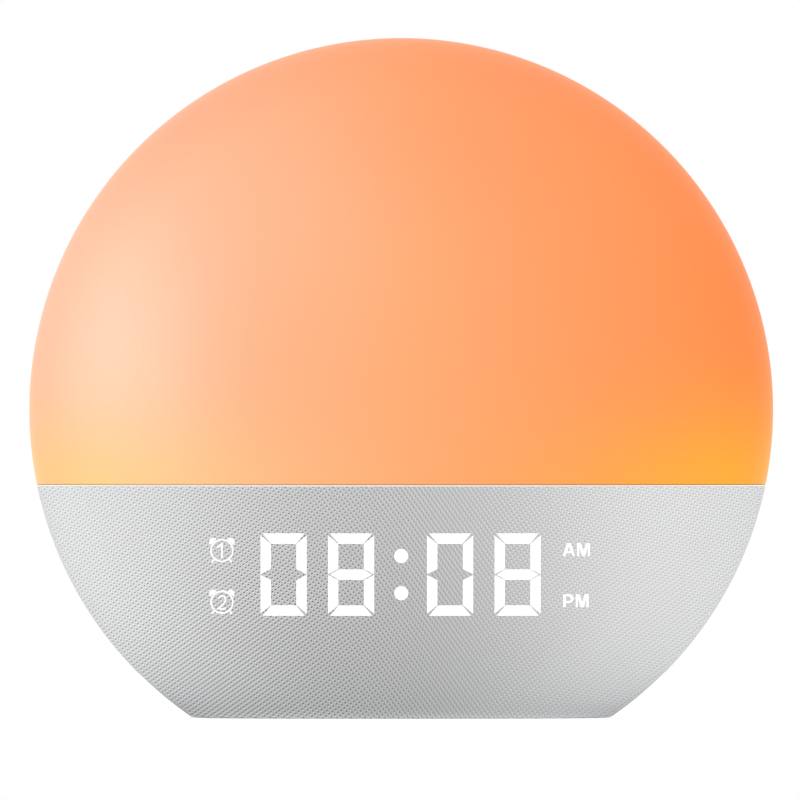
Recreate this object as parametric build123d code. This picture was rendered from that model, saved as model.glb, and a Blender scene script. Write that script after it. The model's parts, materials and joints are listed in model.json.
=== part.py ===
from build123d import *

import math
import os

# A sunrise alarm clock: a glowing dome over a cloth-covered display front, with a moulded
# housing behind that carries the keys, speaker, coin cell and power socket.
#
# Millimetres. +Z is up, the face looks towards -Y and +X is on the right of someone facing it.
# The origin is the middle of the resting face, halfway between the front and the back.
# The outline seen from the front is one circle cut flat underneath. Every shell is turned about
# the axis through that circle's centre, along Y, and then trimmed.

# Body form
OUTLINE_R = 90.0  # round outline
FLAT_RISE = 15.5  # from the round outline's lowest point up to the resting face
CENTRE_Z = OUTLINE_R - FLAT_RISE  # height of the outline's centre above the resting face
FRONT_DEPTH = 40.0  # from the widest section to the front of the crown
SHOULDER_R = 26.0  # rounding between the front crown and the straight band
BAND = 6.0  # straight band at the widest section, up to the parting line
BACK_DEPTH = 40.0  # from the widest section to the flat back
BACK_ROUND_R = 0.75 * BACK_DEPTH  # rounding between the band and the flat back
PARTING_GAP = 0.3  # shadow line between the front shells and the rear housing

# Shell walls
DOME_WALL = 2.0
PANEL_WALL = 2.0
HOUSING_WALL = 2.4
CLOTH_THICK = 0.6
CLOTH_GAP = 0.1  # adhesive between the cloth and the panel
FIT = 0.2  # clearance of a piece that drops into a shell
SEAT_GAP = 0.3  # gap where two moulded pieces meet loosely
OVERCUT = 1.0  # how far a cutter runs past the face that it opens

# Seam between the dome and the cloth. The shelf divides the light chamber from the display.
SEAM_Z = 56.35  # height of the shelf's top above the resting face
SHELF_THICK = 2.0
LIP_THICK = 0.3  # the shelf's edge, seen as a fine pale line
DOME_LIFT = 0.35  # shadow line under the dome
SEAL_RIB_H = 2.0
SEAL_RIB_THICK = 1.2
SHELF_SCREW_Y = -4.0

# Tongue of the front shells inside the rear housing's rim
TONGUE_THICK = 0.9
TONGUE_LENGTH = 1.8
TONGUE_ROOT = 1.0  # how far it reaches into the shell ahead of it
TONGUE_R = OUTLINE_R - DOME_WALL  # inside radius of the tongue
TONGUE_PLAY = 0.15

# Clips that hold the dome to the rear housing
CLIP_ANGLES = (22, 56, 90, 124, 158)
CLIP_WIDTH = 8.0
CLIP_THICK = 1.2
CLIP_LENGTH = 7.0  # behind the parting line
CLIP_ROOT = 6.0  # ahead of the parting line
CLIP_HOOK = 0.7
CLIP_HOOK_LENGTH = 2.2

# Base
PAD_THICK = 1.2
PAD_PROUD = 0.3  # the pad lowers the resting face below the shells
BASE_THICK = 2.4
BASE_SCREW_X = 40.0
BASE_SCREW_FRONT_Y = -5.0
BASE_SCREW_BACK_Y = 16.0
BASE_POST_H = 10.4
BASE_HEAD_PLAY = 0.1

# Display
BOARD_THICK = 1.6
DISPLAY_BOARD_SET = 23.0  # from the front of the crown back to the display board
LIGHT_BOX_W = 97.0
LIGHT_BOX_H = 24.6
LIGHT_BOX_CORNER = 2.5
DISPLAY_Z = 34.75  # height of the middle of the digits above the resting face
DIGIT_W = 11.15
DIGIT_H = 19.9
DIGIT_X = (-28.25, -11.95, 11.95, 28.25)
STROKE = 2.5
MITRE_OUTER = 0.5  # gap between segments at their outer corners
MITRE_INNER = 0.1
COLON_R = 1.7
COLON_RISE = 4.5
SIGN_X = 43.3  # alarm signs, left of the digits
SIGN_RISE = 6.25
SIGN_R = 3.6
HALF_DAY_X = 42.4  # AM and PM windows, right of the digits
HALF_DAY_W = 7.6
HALF_DAY_H = 4.4
LENS_THICK = 1.4
LENS_PLAY = 0.04
LED_SIZE = (1.6, 0.8, 0.8)
DISPLAY_EAR = 10.0  # the display board's width past the light box, each side
DISPLAY_SCREW_RISE = 8.0

# Light engine
REFLECTOR_THICK = 1.6
REFLECTOR_SET = 2.4  # the reflector's face, ahead of the parting line
REFLECTOR_R = OUTLINE_R - 4.4
REFLECTOR_RIM = 7.0
REFLECTOR_RIM_THICK = 1.4
LED_BOARD_H = 62.0
LED_BOARD_RISE = 26.5  # above the outline's centre
LED_BOARD_GAP = 2.53  # from the board's upper corners to the reflector's rim
LED_CORNER_R = REFLECTOR_R - REFLECTOR_RIM_THICK - LED_BOARD_GAP
LED_BOARD_W = 2 * math.sqrt(LED_CORNER_R**2 - (LED_BOARD_RISE + LED_BOARD_H / 2) ** 2)
CHIP_SIZE = 5.0
CHIP_THICK = 1.6
CHIP_SET = 6.0  # least room beside the outer chips
CHIP_PITCH_X = 15.0
CHIP_COLUMNS = 1 + int((LED_BOARD_W - 2 * CHIP_SET - CHIP_SIZE) / CHIP_PITCH_X)
CHIP_ROWS = 3
CHIP_PITCH_Z = 20.0
CHIP_WELL_R = 1.9
CHIP_WELL_DEPTH = 0.3
LED_SCREW_SET = 6.0  # screws in from the board's edges
LED_SCREW_X = LED_BOARD_W / 2 - LED_SCREW_SET
LED_SCREW_RISE = LED_BOARD_H / 2 - LED_SCREW_SET
LED_CABLE_X = 30.0
LED_CABLE_RISE = 9.5

# Screws: head radius, head height, shank radius, length
SMALL_SCREW = (2.3, 1.5, 1.1, 7.0)
SHORT_SCREW = (2.3, 1.5, 1.1, 5.0)
LONG_SCREW = (2.9, 2.0, 1.5, 26.0)
THREAD_PLAY = 0.05
POST_R = 3.3
BIG_POST_R = 4.2
RIB_THICK = 1.6

SPEAKER_SCREW = (1.9, 1.3, 0.9, 4.6)

# Screws that join the rear housing to the front panel, as (x, height above the resting face)
JOIN_HIGH = (64.0, 40.0)
JOIN_LOW = (27.0, 12.0)
JOIN_GRIP = 14.7  # length of each housing post under its screw's head

# Keys on the back
KEY_W = 15.0
KEY_H = 8.0
KEY_PITCH_X = 19.0
KEY_PITCH_Z = 14.0
KEY_PANEL_RISE = 30.5  # middle of the keys above the outline's centre
KEY_PLAY = 0.3
KEY_FLANGE = 1.3
KEY_FLANGE_THICK = 1.2
KEY_TRAVEL = 0.8
KEY_EDGE = 0.8  # rounding of the key's touched edge
KEY_PANEL_SIDE = 5.5  # sunk panel past the keys, left and right
KEY_PANEL_END = 6.0  # sunk panel past the keys, above and below
KEY_PANEL_W = 2 * KEY_PITCH_X + KEY_W + 2 * KEY_PANEL_SIDE
KEY_PANEL_H = KEY_PITCH_Z + KEY_H + 2 * KEY_PANEL_END
KEY_PANEL_DEPTH = 1.2
KEY_PANEL_MARGIN = 2.0  # thickened wall past the edge of the sunk panel
KEY_DROP = 3.4  # from the flange to the top of its switch
STEM_R = 1.6
STEM_PLAY = 0.3
STEM_ENTRY = 0.9  # how far a stem sits in its switch when the key is up
SWITCH_SIZE = 6.2
SWITCH_H = 3.5
SWITCH_EDGE = 0.6
SWITCH_WELL_SPARE = 0.5

# Main board, and what stands on its front: (x, rise above its middle), then (width, height,
# thickness)
MAIN_BOARD_W = 88.0
MAIN_BOARD_H = 34.0
MAIN_BOARD_RISE = 2.0  # its middle above the middle of the keys
MAIN_SCREW_SET = 4.0  # screws in from the board's edges
MAIN_SCREW_X = MAIN_BOARD_W / 2 - MAIN_SCREW_SET
MAIN_SCREW_RISE = MAIN_BOARD_H / 2 - MAIN_SCREW_SET
BOARD_CORNER = 2.0
MAIN_CHIP_AT = (0.0, 1.0)
MAIN_CHIP_SIZE = (10.0, 10.0, 1.4)
FLASH_CHIP_AT = (16.0, 5.0)
FLASH_CHIP_SIZE = (5.2, 6.0, 1.6)
CRYSTAL_AT = (-13.0, 3.0)
CRYSTAL_SIZE = (8.0, 3.6, 3.2)
CAPACITOR_AT = ((-26.0, 7.0), (-26.0, -2.0))
CAPACITOR_R = 3.15
CAPACITOR_H = 7.7
SOCKET_AT = {
    "led": (30.0, -7.0),
    "speaker": (8.0, -12.0),
    "display": (-30.0, -12.0),
    "power": (19.0, -12.0),
}

# Snooze bar on the top of the back
SNOOZE_TILT = 45.0  # direction of its press, from the horizontal
SNOOZE_W = 44.0
SNOOZE_H = 11.0
SNOOZE_PROUD = 0.5
SNOOZE_DROP = 4.6  # from the flange to the top of its switch
SNOOZE_BOARD_W = 64.0
SNOOZE_BOARD_H = 9.0
SNOOZE_POST_SET = 4.0  # posts in from the board's ends
SNOOZE_POST_X = SNOOZE_BOARD_W / 2 - SNOOZE_POST_SET

# Speaker behind the slots in the back
SPEAKER_DROP = 7.5
SPEAKER_R = 22.0
SPEAKER_SEAT = 2.0
GASKET_THICK = 0.8
FLANGE_THICK = 1.0
SPEAKER_SCREW_R = SPEAKER_R - 2.4  # radius of the screw circle
CONE_R = 13.5
MOUTH_R = CONE_R + 3.1
DUST_R = 5.3
CONE_DEPTH = 4.5
DUST_RISE = 1.5
CONE_THICK = 0.5
BASKET_THICK = 0.9
MAGNET_R = 9.5
MAGNET_H = 9.0
MAGNET_EDGE = 0.8
BASKET_DEPTH = 8.0
BASKET_WINDOW = 8.0  # width of each of the basket's windows
SLOT_W = 1.6
SLOT_PITCH = 3.4
SLOT_FIELD_R = 15.2
SLOT_COUNT = 9

# Coin cell and its twist cover in the back
CELL_X = -22.0
CELL_DROP = 36.5
CELL_R = 10.0
CELL_THICK = 3.2
CELL_SPACE = 2.2  # behind the cell, for the cover's boss
COVER_R = 12.5
COVER_THICK = 1.3
COVER_PLAY = 0.3
NECK_R = 11.0
LUG_R = 12.3
LUG_THICK = 1.2
LUG_ANGLE = 26.0
LUG_COUNT = 3
LUG_ROOT = 1.0  # how far each lug reaches into the neck
UNLOCK_ANGLE = 50.0
COIN_SLOT = (15.0, 1.8, 0.8)
HOLDER_FLOOR = 1.2
CUP_WALL = 1.4
CONTACT_THICK = 0.2
CONTACT_LENGTH = 14.0
CONTACT_WIDTH = 3.0

# Power socket in the back
SOCKET_X = 24.0
SOCKET_DROP = 38.5
SOCKET_W = 8.94
SOCKET_H = 3.26
SOCKET_WALL = 0.3
SOCKET_LENGTH = 8.0
TONGUE_SIZE = (6.7, 0.7)
TONGUE_SET = 1.2  # the socket's tongue stops this far inside its mouth
SOCKET_PLAY = 0.35
SOCKET_DISH = (14.0, 8.0, 1.0)  # shallow dish round the socket, for the plug's body
POWER_BOARD_W = 26.0
POWER_BOARD_H = 16.0
POWER_SCREW_SET = 3.0  # screws in from the board's sides
POWER_SCREW_X = POWER_BOARD_W / 2 - POWER_SCREW_SET
POWER_CABLE_RISE = 5.0
POWER_CABLE_BEND_RISE = 5.5  # where the power cable leans towards its socket

# Cables and the boxes that they plug into
CABLE_R = 1.2
CABLE_PLAY = 1.0
CABLE_BEND = 3.5
POWER_CABLE_BEND = 5.0
DISPLAY_CABLE_BEND = 10.0
PLUG_BOX = (8.0, 5.0, 5.0)  # width, height, thickness
CABLE_TURN = 8.0  # free length in front of a socket

# Derived places
SHELF_Z = SEAM_Z - SHELF_THICK
DOME_Z = SEAM_Z + DOME_LIFT
LED_BOARD_Z = CENTRE_Z + LED_BOARD_RISE
LED_CABLE_Z = CENTRE_Z + LED_CABLE_RISE
KEY_PANEL_Z = CENTRE_Z + KEY_PANEL_RISE
MAIN_BOARD_Z = KEY_PANEL_Z + MAIN_BOARD_RISE
SPEAKER_Z = CENTRE_Z - SPEAKER_DROP
CELL_Z = CENTRE_Z - CELL_DROP
SOCKET_Z = CENTRE_Z - SOCKET_DROP
BASE_TOP_Z = PAD_THICK + BASE_THICK
BASE_HEAD_Z = PAD_THICK + SMALL_SCREW[1] + BASE_HEAD_PLAY
PANEL_OUT = CLOTH_THICK + CLOTH_GAP
PANEL_IN = PANEL_OUT + PANEL_WALL
DISPLAY_BOARD_Y = DISPLAY_BOARD_SET - FRONT_DEPTH
DISPLAY_BACK_Y = DISPLAY_BOARD_Y + BOARD_THICK
REFLECTOR_Y = BAND - REFLECTOR_SET
REFLECTOR_BACK_Y = REFLECTOR_Y + REFLECTOR_THICK
LED_BOARD_FACE_Y = REFLECTOR_Y - BOARD_THICK
BACK_Y = BACK_DEPTH
BACK_IN_Y = BACK_Y - HOUSING_WALL
JOIN_HEAD_Y = BAND + PARTING_GAP + JOIN_GRIP
KEY_WALL_IN_Y = BACK_IN_Y - KEY_PANEL_DEPTH
KEY_FLANGE_Y = KEY_WALL_IN_Y - SEAT_GAP - KEY_FLANGE_THICK
SWITCH_TOP_Y = KEY_FLANGE_Y - KEY_DROP
MAIN_BOARD_Y = SWITCH_TOP_Y - SWITCH_H
MAIN_FRONT_Y = MAIN_BOARD_Y - BOARD_THICK
SOCKET_FACE_Y = MAIN_FRONT_Y - PLUG_BOX[2]
SNOOZE_FLANGE_DEPTH = HOUSING_WALL + SEAT_GAP + KEY_FLANGE_THICK
SNOOZE_BOARD_DEPTH = SNOOZE_FLANGE_DEPTH + SNOOZE_DROP + SWITCH_H
SPEAKER_SEAT_Y = BACK_IN_Y - SPEAKER_SEAT
FLANGE_Y = SPEAKER_SEAT_Y - GASKET_THICK - FLANGE_THICK
BASKET_FLOOR_Y = FLANGE_Y - BASKET_DEPTH
CONE_TOP_Y = FLANGE_Y + FLANGE_THICK * 0.6
COVER_IN_Y = BACK_Y - COVER_THICK
CELL_OUT_Y = BACK_IN_Y - SEAT_GAP - CELL_SPACE
CELL_IN_Y = CELL_OUT_Y - CELL_THICK
HOLDER_Y = CELL_IN_Y - SEAT_GAP - HOLDER_FLOOR
PORT_FRONT_Y = BACK_Y - SOCKET_DISH[2]
PORT_BASE_Y = PORT_FRONT_Y - SOCKET_LENGTH
KEYS = {
    "key_alarm_1": (KEY_PITCH_X, KEY_PITCH_Z / 2),
    "key_clock": (0.0, KEY_PITCH_Z / 2),
    "key_alarm_2": (-KEY_PITCH_X, KEY_PITCH_Z / 2),
    "key_minus": (KEY_PITCH_X, -KEY_PITCH_Z / 2),
    "key_light": (0.0, -KEY_PITCH_Z / 2),
    "key_plus": (-KEY_PITCH_X, -KEY_PITCH_Z / 2),
}
FAR = 4 * OUTLINE_R  # larger than the clock, for trimming
BODY_AXIS = Axis((0, 0, CENTRE_Z), (0, 1, 0))
os.makedirs("parts", exist_ok=True)


# Building blocks


def block(x, y, z):
    """A box from three (low, high) pairs."""
    size = [high - low for low, high in (x, y, z)]
    middle = [(high + low) / 2 for low, high in (x, y, z)]
    return Pos(*middle) * Box(*size)


def below(z):
    return block((-FAR, FAR), (-FAR, FAR), (-FAR, z))


def level(z_low, z_high):
    return block((-FAR, FAR), (-FAR, FAR), (z_low, z_high))


def rod(x, z, radius, y_low, y_high):
    """A round bar along Y."""
    middle = Pos(x, (y_low + y_high) / 2, z)
    return middle * Rot(90, 0, 0) * Cylinder(radius, y_high - y_low)


def post(x, y, radius, z_low, z_high):
    """A round bar along Z."""
    return Pos(x, y, (z_low + z_high) / 2) * Cylinder(radius, z_high - z_low)


def prism(sketch, y_low, y_high):
    """A sketch drawn as (X, Z), carried along Y."""
    return extrude(Plane.XZ.offset(-y_high) * sketch, y_high - y_low)


def turned(edges, sweep=360.0):
    """A profile drawn as (radius, Y), turned about the body's axis."""
    return revolve(Pos(0, 0, CENTRE_Z) * make_face(edges), BODY_AXIS, sweep)


def chain(points):
    """Straight edges through points, closed."""
    return [Line(a, b) for a, b in zip(points, points[1:] + points[:1])]


def turned_at(x, z, points):
    """A profile of (radius, Y) points turned about an axis along Y through (x, z)."""
    return Pos(x, 0, z) * revolve(make_face(chain(points)), Axis.Y, 360)


def ring(r_low, r_high, y_low, y_high):
    """A round band about the body's axis."""
    corners = [(r_low, y_low), (r_high, y_low), (r_high, y_high), (r_low, y_high)]
    return turned(chain(corners))


def front_form(inset, end_y=BAND):
    """The body ahead of the parting line, with every face moved in by inset."""
    knuckle = OUTLINE_R - SHOULDER_R
    crown_r = (knuckle**2 + FRONT_DEPTH**2 - SHOULDER_R**2) / (2 * (FRONT_DEPTH - SHOULDER_R))
    crown_y = crown_r - FRONT_DEPTH
    lean = math.degrees(math.asin(knuckle / (crown_r - SHOULDER_R)))
    side = OUTLINE_R - inset
    return turned(
        [
            CenterArc((0, crown_y), crown_r - inset, -90, lean),
            CenterArc((knuckle, 0), SHOULDER_R - inset, lean - 90, 90 - lean),
            Line((side, 0), (side, end_y)),
            Line((side, end_y), (0, end_y)),
            Line((0, end_y), (0, inset - FRONT_DEPTH)),
        ]
    )


def back_form(inset, start_y=BAND + PARTING_GAP):
    """The body behind the parting line, with every face moved in by inset."""
    knuckle = OUTLINE_R - BACK_ROUND_R
    bend_y = BACK_Y - BACK_ROUND_R
    side = OUTLINE_R - inset
    return turned(
        [
            Line((0, start_y), (side, start_y)),
            Line((side, start_y), (side, bend_y)),
            CenterArc((knuckle, bend_y), BACK_ROUND_R - inset, 0, 90),
            Line((knuckle, BACK_Y - inset), (0, BACK_Y - inset)),
            Line((0, BACK_Y - inset), (0, start_y)),
        ]
    )


def screw(size):
    """A pan-head screw along +Z, its head's underside at the origin and its shank below."""
    head_r, head_h, shank_r, length = size
    head = Pos(0, 0, head_h / 2) * Cylinder(head_r, head_h)
    head = fillet(head.edges().group_by(Axis.Z)[-1], head_h * 0.45)
    recess = Pos(0, 0, head_h) * (Box(head_r, head_r / 4, head_h) + Box(head_r / 4, head_r, head_h))
    return head - recess + Pos(0, 0, -length / 2) * Cylinder(shank_r, length)


def screw_along_y(size, x, y, z, heads_back):
    """A screw whose head's underside is at y; its head points to +Y when heads_back."""
    return Pos(x, y, z) * Rot(-90 if heads_back else 90, 0, 0) * screw(size)


def thread_hole(size, x, z, y_low, y_high):
    return rod(x, z, size[2] + THREAD_PLAY, y_low, y_high)


def tube(points, radii):
    """A cable through points, with an arc at each corner."""
    path = FilletPolyline(*points, radius=radii)
    start = Plane(origin=path @ 0, z_dir=path % 0)
    return sweep(start * Circle(CABLE_R), path)


def save(name, shape):
    export_step(shape, f"parts/{name}.step")


# Front shells


def diffuser_dome():
    shell = front_form(0) - front_form(DOME_WALL, BAND + OVERCUT)
    shell += ring(TONGUE_R, TONGUE_R + TONGUE_THICK, BAND - TONGUE_ROOT, BAND + TONGUE_LENGTH)
    clip_r = OUTLINE_R - HOUSING_WALL - FIT
    for angle in CLIP_ANGLES:
        shell += dome_clip(angle, clip_r)
    return shell - below(DOME_Z)


def dome_clip(angle, clip_r):
    """A springy finger at the rim, with a hook that bites into the housing's wall."""
    hook_y = BAND + CLIP_LENGTH - CLIP_HOOK_LENGTH
    finger = [
        (clip_r - CLIP_THICK, BAND - CLIP_ROOT),
        (TONGUE_R + TONGUE_THICK / 2, BAND - CLIP_ROOT),
        (TONGUE_R + TONGUE_THICK / 2, BAND - 0.5),
        (clip_r, BAND - 0.5),
        (clip_r, hook_y),
        (clip_r + CLIP_HOOK, hook_y),
        (clip_r, BAND + CLIP_LENGTH),
        (clip_r - CLIP_THICK, BAND + CLIP_LENGTH),
    ]
    whole = turned(chain(finger))
    wide = CLIP_WIDTH / 2
    beam = block((0, FAR), (-FAR, FAR), (-wide, wide))
    return whole & (Pos(0, 0, CENTRE_Z) * Rot(0, -angle, 0) * beam)


def clip_pocket(angle):
    """The groove in the housing's wall that a dome clip's hook drops into."""
    hook_y = BAND + CLIP_LENGTH - CLIP_HOOK_LENGTH
    wall_r = OUTLINE_R - HOUSING_WALL
    groove = ring(wall_r - OVERCUT, wall_r + CLIP_HOOK, hook_y - FIT, BAND + CLIP_LENGTH + FIT)
    wide = CLIP_WIDTH / 2 + FIT
    beam = block((0, FAR), (-FAR, FAR), (-wide, wide))
    return groove & (Pos(0, 0, CENTRE_Z) * Rot(0, -angle, 0) * beam)


def divider_shelf():
    plate = front_form(PANEL_OUT) & level(SHELF_Z, SEAM_Z)
    lip = front_form(0) & level(SEAM_Z - LIP_THICK, SEAM_Z)
    rib_out = DOME_WALL + FIT
    rib = front_form(rib_out, REFLECTOR_Y - REFLECTOR_RIM)
    rib -= front_form(rib_out + SEAL_RIB_THICK, REFLECTOR_Y)
    rib &= level(SEAM_Z, SEAM_Z + SEAL_RIB_H)
    shelf = plate + lip + rib
    for x in (-JOIN_HIGH[0], JOIN_HIGH[0]):
        shelf -= post(x, SHELF_SCREW_Y, SMALL_SCREW[2] + FIT, SHELF_Z - OVERCUT, SEAM_Z + OVERCUT)
    return shelf


def shelf_screws():
    places = [Pos(x, SHELF_SCREW_Y, SEAM_Z) for x in (-JOIN_HIGH[0], JOIN_HIGH[0])]
    return Compound([place * screw(SMALL_SCREW) for place in places])


def grille_cloth():
    sheet = front_form(0) - front_form(CLOTH_THICK, BAND + OVERCUT)
    return sheet & level(PAD_PROUD, SEAM_Z - LIP_THICK)


def join_points():
    """(x, z) of the four screws that join the rear housing to the front panel."""
    corners = (JOIN_HIGH, JOIN_LOW)
    return [(side * x, z) for x, z in corners for side in (-1, 1)]


def front_panel():
    shell = front_form(PANEL_OUT) - front_form(PANEL_IN, BAND + OVERCUT)
    shell += ring(TONGUE_R, TONGUE_R + TONGUE_THICK, BAND - TONGUE_ROOT, BAND + TONGUE_LENGTH)
    inside = front_form(PANEL_OUT + PANEL_WALL / 2)
    posts = [rod(x, z, BIG_POST_R, -FAR, BAND) & inside for x, z in join_points()]
    posts += [rod(x, z, POST_R, -FAR, DISPLAY_BOARD_Y) & inside for x, z in display_screw_points()]
    for x in (-BASE_SCREW_X, BASE_SCREW_X):
        posts.append(base_post(x, BASE_SCREW_FRONT_Y, -FRONT_DEPTH) & inside)
    for x in (-JOIN_HIGH[0], JOIN_HIGH[0]):
        posts.append(post(x, SHELF_SCREW_Y, POST_R, JOIN_HIGH[1], SHELF_Z) & inside)
    shell = shell.fuse(*posts) & level(PAD_PROUD, SHELF_Z)
    for x, z in join_points():
        shell -= thread_hole(LONG_SCREW, x, z, JOIN_HEAD_Y - LONG_SCREW[3] - OVERCUT, BAND + OVERCUT)
    for x, z in display_screw_points():
        hole_end = DISPLAY_BACK_Y - SHORT_SCREW[3] - 1
        shell -= thread_hole(SHORT_SCREW, x, z, hole_end, DISPLAY_BOARD_Y + OVERCUT)
    for x in (-BASE_SCREW_X, BASE_SCREW_X):
        shell -= base_thread(x, BASE_SCREW_FRONT_Y)
    for x in (-JOIN_HIGH[0], JOIN_HIGH[0]):
        hole = SMALL_SCREW[2] + THREAD_PLAY
        shell -= post(x, SHELF_SCREW_Y, hole, SEAM_Z - SMALL_SCREW[3] - OVERCUT, SHELF_Z + OVERCUT)
    return shell - display_block(FIT, -FAR, 0)


# Display


def display_block(play, y_low, y_high):
    """The light box's outline, grown by play."""
    outline = RectangleRounded(
        LIGHT_BOX_W + 2 * play, LIGHT_BOX_H + 2 * play, LIGHT_BOX_CORNER + play
    )
    return Pos(0, 0, DISPLAY_Z) * prism(outline, y_low, y_high)


def display_screw_points():
    x = LIGHT_BOX_W / 2 + DISPLAY_EAR / 2
    return [(s * x, DISPLAY_Z + r) for s in (-1, 1) for r in (-DISPLAY_SCREW_RISE, DISPLAY_SCREW_RISE)]


def segment_corners():
    """The seven segments of a digit, each as (x, z) corners about the digit's middle."""
    right, top, inner = DIGIT_W / 2, DIGIT_H / 2, DIGIT_W / 2 - STROKE
    bar = [
        (-right + MITRE_OUTER, top),
        (right - MITRE_OUTER, top),
        (inner - MITRE_INNER, top - STROKE),
        (-inner + MITRE_INNER, top - STROKE),
    ]
    side = [
        (right, top - MITRE_OUTER),
        (inner, top - STROKE - MITRE_INNER),
        (inner, STROKE / 2 + MITRE_INNER),
        (right, MITRE_INNER),
    ]
    middle = [
        (-right + MITRE_OUTER, 0),
        (-inner + MITRE_INNER, STROKE / 2),
        (inner - MITRE_INNER, STROKE / 2),
        (right - MITRE_OUTER, 0),
        (inner - MITRE_INNER, -STROKE / 2),
        (-inner + MITRE_INNER, -STROKE / 2),
    ]
    lower_bar = [(x, -z) for x, z in bar]
    sides = [[(x * a, z * b) for x, z in side] for a in (-1, 1) for b in (-1, 1)]
    return [anticlockwise(corners) for corners in [bar, lower_bar, middle] + sides]


def anticlockwise(corners):
    """The corners in the order that makes their face look towards the front."""
    pairs = zip(corners, corners[1:] + corners[:1])
    area = sum(x0 * z1 - x1 * z0 for (x0, z0), (x1, z1) in pairs)
    return corners if area > 0 else corners[::-1]


def window_sketches():
    """Every lit window of the display, as a sketch drawn as (X, Z)."""
    windows = []
    for digit_x in DIGIT_X:
        for corners in segment_corners():
            placed = [(x + digit_x, z + DISPLAY_Z) for x, z in corners]
            windows.append(Polygon(*placed, align=None))
    for rise in (-COLON_RISE, COLON_RISE):
        windows.append(Pos(0, DISPLAY_Z + rise) * Circle(COLON_R))
    for rise in (-SIGN_RISE, SIGN_RISE):
        windows.append(Pos(-SIGN_X, DISPLAY_Z + rise) * Circle(SIGN_R))
        windows.append(Pos(HALF_DAY_X, DISPLAY_Z + rise) * Rectangle(HALF_DAY_W, HALF_DAY_H))
    return windows


def display_light_box(windows):
    """A block with one well for each window; its front follows the cloth."""
    body = display_block(0, -FRONT_DEPTH, DISPLAY_BOARD_Y) & front_form(PANEL_OUT)
    wells = [prism(window, -FRONT_DEPTH, DISPLAY_BOARD_Y + OVERCUT) for window in windows]
    return body.cut(*wells)


def segment_lenses(windows):
    """The clear plugs at the front of the wells."""
    layer = front_form(PANEL_OUT) - front_form(PANEL_OUT + LENS_THICK, BAND + OVERCUT)
    plugs = [prism(offset(window, -LENS_PLAY), -FRONT_DEPTH, 0) & layer for window in windows]
    return Compound([solid for plug in plugs for solid in plug.solids()])


def display_leds(windows):
    """One small lamp at the bottom of each well."""
    wide, tall, thick = LED_SIZE
    lamps = []
    for window in windows:
        centre = window.center()
        lamp = Pos(centre.X, DISPLAY_BOARD_Y - thick / 2, centre.Y) * Box(wide, thick, tall)
        lamps.append(lamp)
    return Compound(lamps)


def display_board():
    board = Pos(0, 0, DISPLAY_Z) * prism(
        RectangleRounded(LIGHT_BOX_W + 2 * DISPLAY_EAR, LIGHT_BOX_H, LIGHT_BOX_CORNER),
        DISPLAY_BOARD_Y,
        DISPLAY_BACK_Y,
    )
    for x, z in display_screw_points():
        board -= rod(x, z, SMALL_SCREW[2] + FIT, DISPLAY_BOARD_Y - OVERCUT, DISPLAY_BACK_Y + OVERCUT)
    return board & front_form(PANEL_IN + FIT)


def display_screws():
    return Compound(
        [screw_along_y(SHORT_SCREW, x, DISPLAY_BACK_Y, z, True) for x, z in display_screw_points()]
    )


# Light engine


def led_screw_points():
    spread = (-LED_SCREW_RISE, LED_SCREW_RISE)
    return [(x, LED_BOARD_Z + rise) for x in (-LED_SCREW_X, LED_SCREW_X) for rise in spread]


def light_reflector():
    plate = ring(0.0, REFLECTOR_R, REFLECTOR_Y, REFLECTOR_BACK_Y)
    rim_in = REFLECTOR_R - REFLECTOR_RIM_THICK
    plate += ring(rim_in, REFLECTOR_R, REFLECTOR_Y - REFLECTOR_RIM, REFLECTOR_BACK_Y)
    plate -= below(SEAM_Z + SEAT_GAP)
    for x, z in led_screw_points():
        plate -= rod(x, z, SMALL_SCREW[2] + FIT, REFLECTOR_Y - OVERCUT, REFLECTOR_BACK_Y + OVERCUT)
    hole = (REFLECTOR_Y - OVERCUT, REFLECTOR_BACK_Y + OVERCUT)
    return plate - rod(LED_CABLE_X, LED_CABLE_Z, CABLE_R + CABLE_PLAY, *hole)


def led_board():
    board = Pos(0, 0, LED_BOARD_Z) * prism(
        RectangleRounded(LED_BOARD_W, LED_BOARD_H, BOARD_CORNER), LED_BOARD_FACE_Y, REFLECTOR_Y
    )
    for x, z in led_screw_points():
        board -= rod(x, z, SMALL_SCREW[2] + FIT, LED_BOARD_FACE_Y - OVERCUT, REFLECTOR_Y + OVERCUT)
    return board


def led_chips():
    """Packages with a round lit well each."""
    top_y = LED_BOARD_FACE_Y - CHIP_THICK
    chips = []
    for column in range(CHIP_COLUMNS):
        for row in range(CHIP_ROWS):
            x = (column - (CHIP_COLUMNS - 1) / 2) * CHIP_PITCH_X
            z = LED_BOARD_Z + (row - (CHIP_ROWS - 1) / 2) * CHIP_PITCH_Z
            body = Pos(x, top_y + CHIP_THICK / 2, z) * Box(CHIP_SIZE, CHIP_THICK, CHIP_SIZE)
            well = rod(x, z, CHIP_WELL_R, top_y - OVERCUT, top_y + CHIP_WELL_DEPTH)
            chips.append(body - well)
    return Compound(chips)


def led_screws():
    points = led_screw_points()
    return Compound([screw_along_y(SMALL_SCREW, x, LED_BOARD_FACE_Y, z, False) for x, z in points])


# Base


def base_outline(inset):
    return front_form(inset) + back_form(inset, BAND)


def base_screw_points():
    ys = (BASE_SCREW_FRONT_Y, BASE_SCREW_BACK_Y)
    return [(x, y) for x in (-BASE_SCREW_X, BASE_SCREW_X) for y in ys]


def base_post(x, y, wall_y):
    """A post above the base plate, with a rib to the wall at wall_y."""
    heights = (BASE_TOP_Z, BASE_TOP_Z + BASE_POST_H)
    rib_x = (x - RIB_THICK / 2, x + RIB_THICK / 2)
    return post(x, y, POST_R, *heights) + block(rib_x, (min(y, wall_y), max(y, wall_y)), heights)


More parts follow.
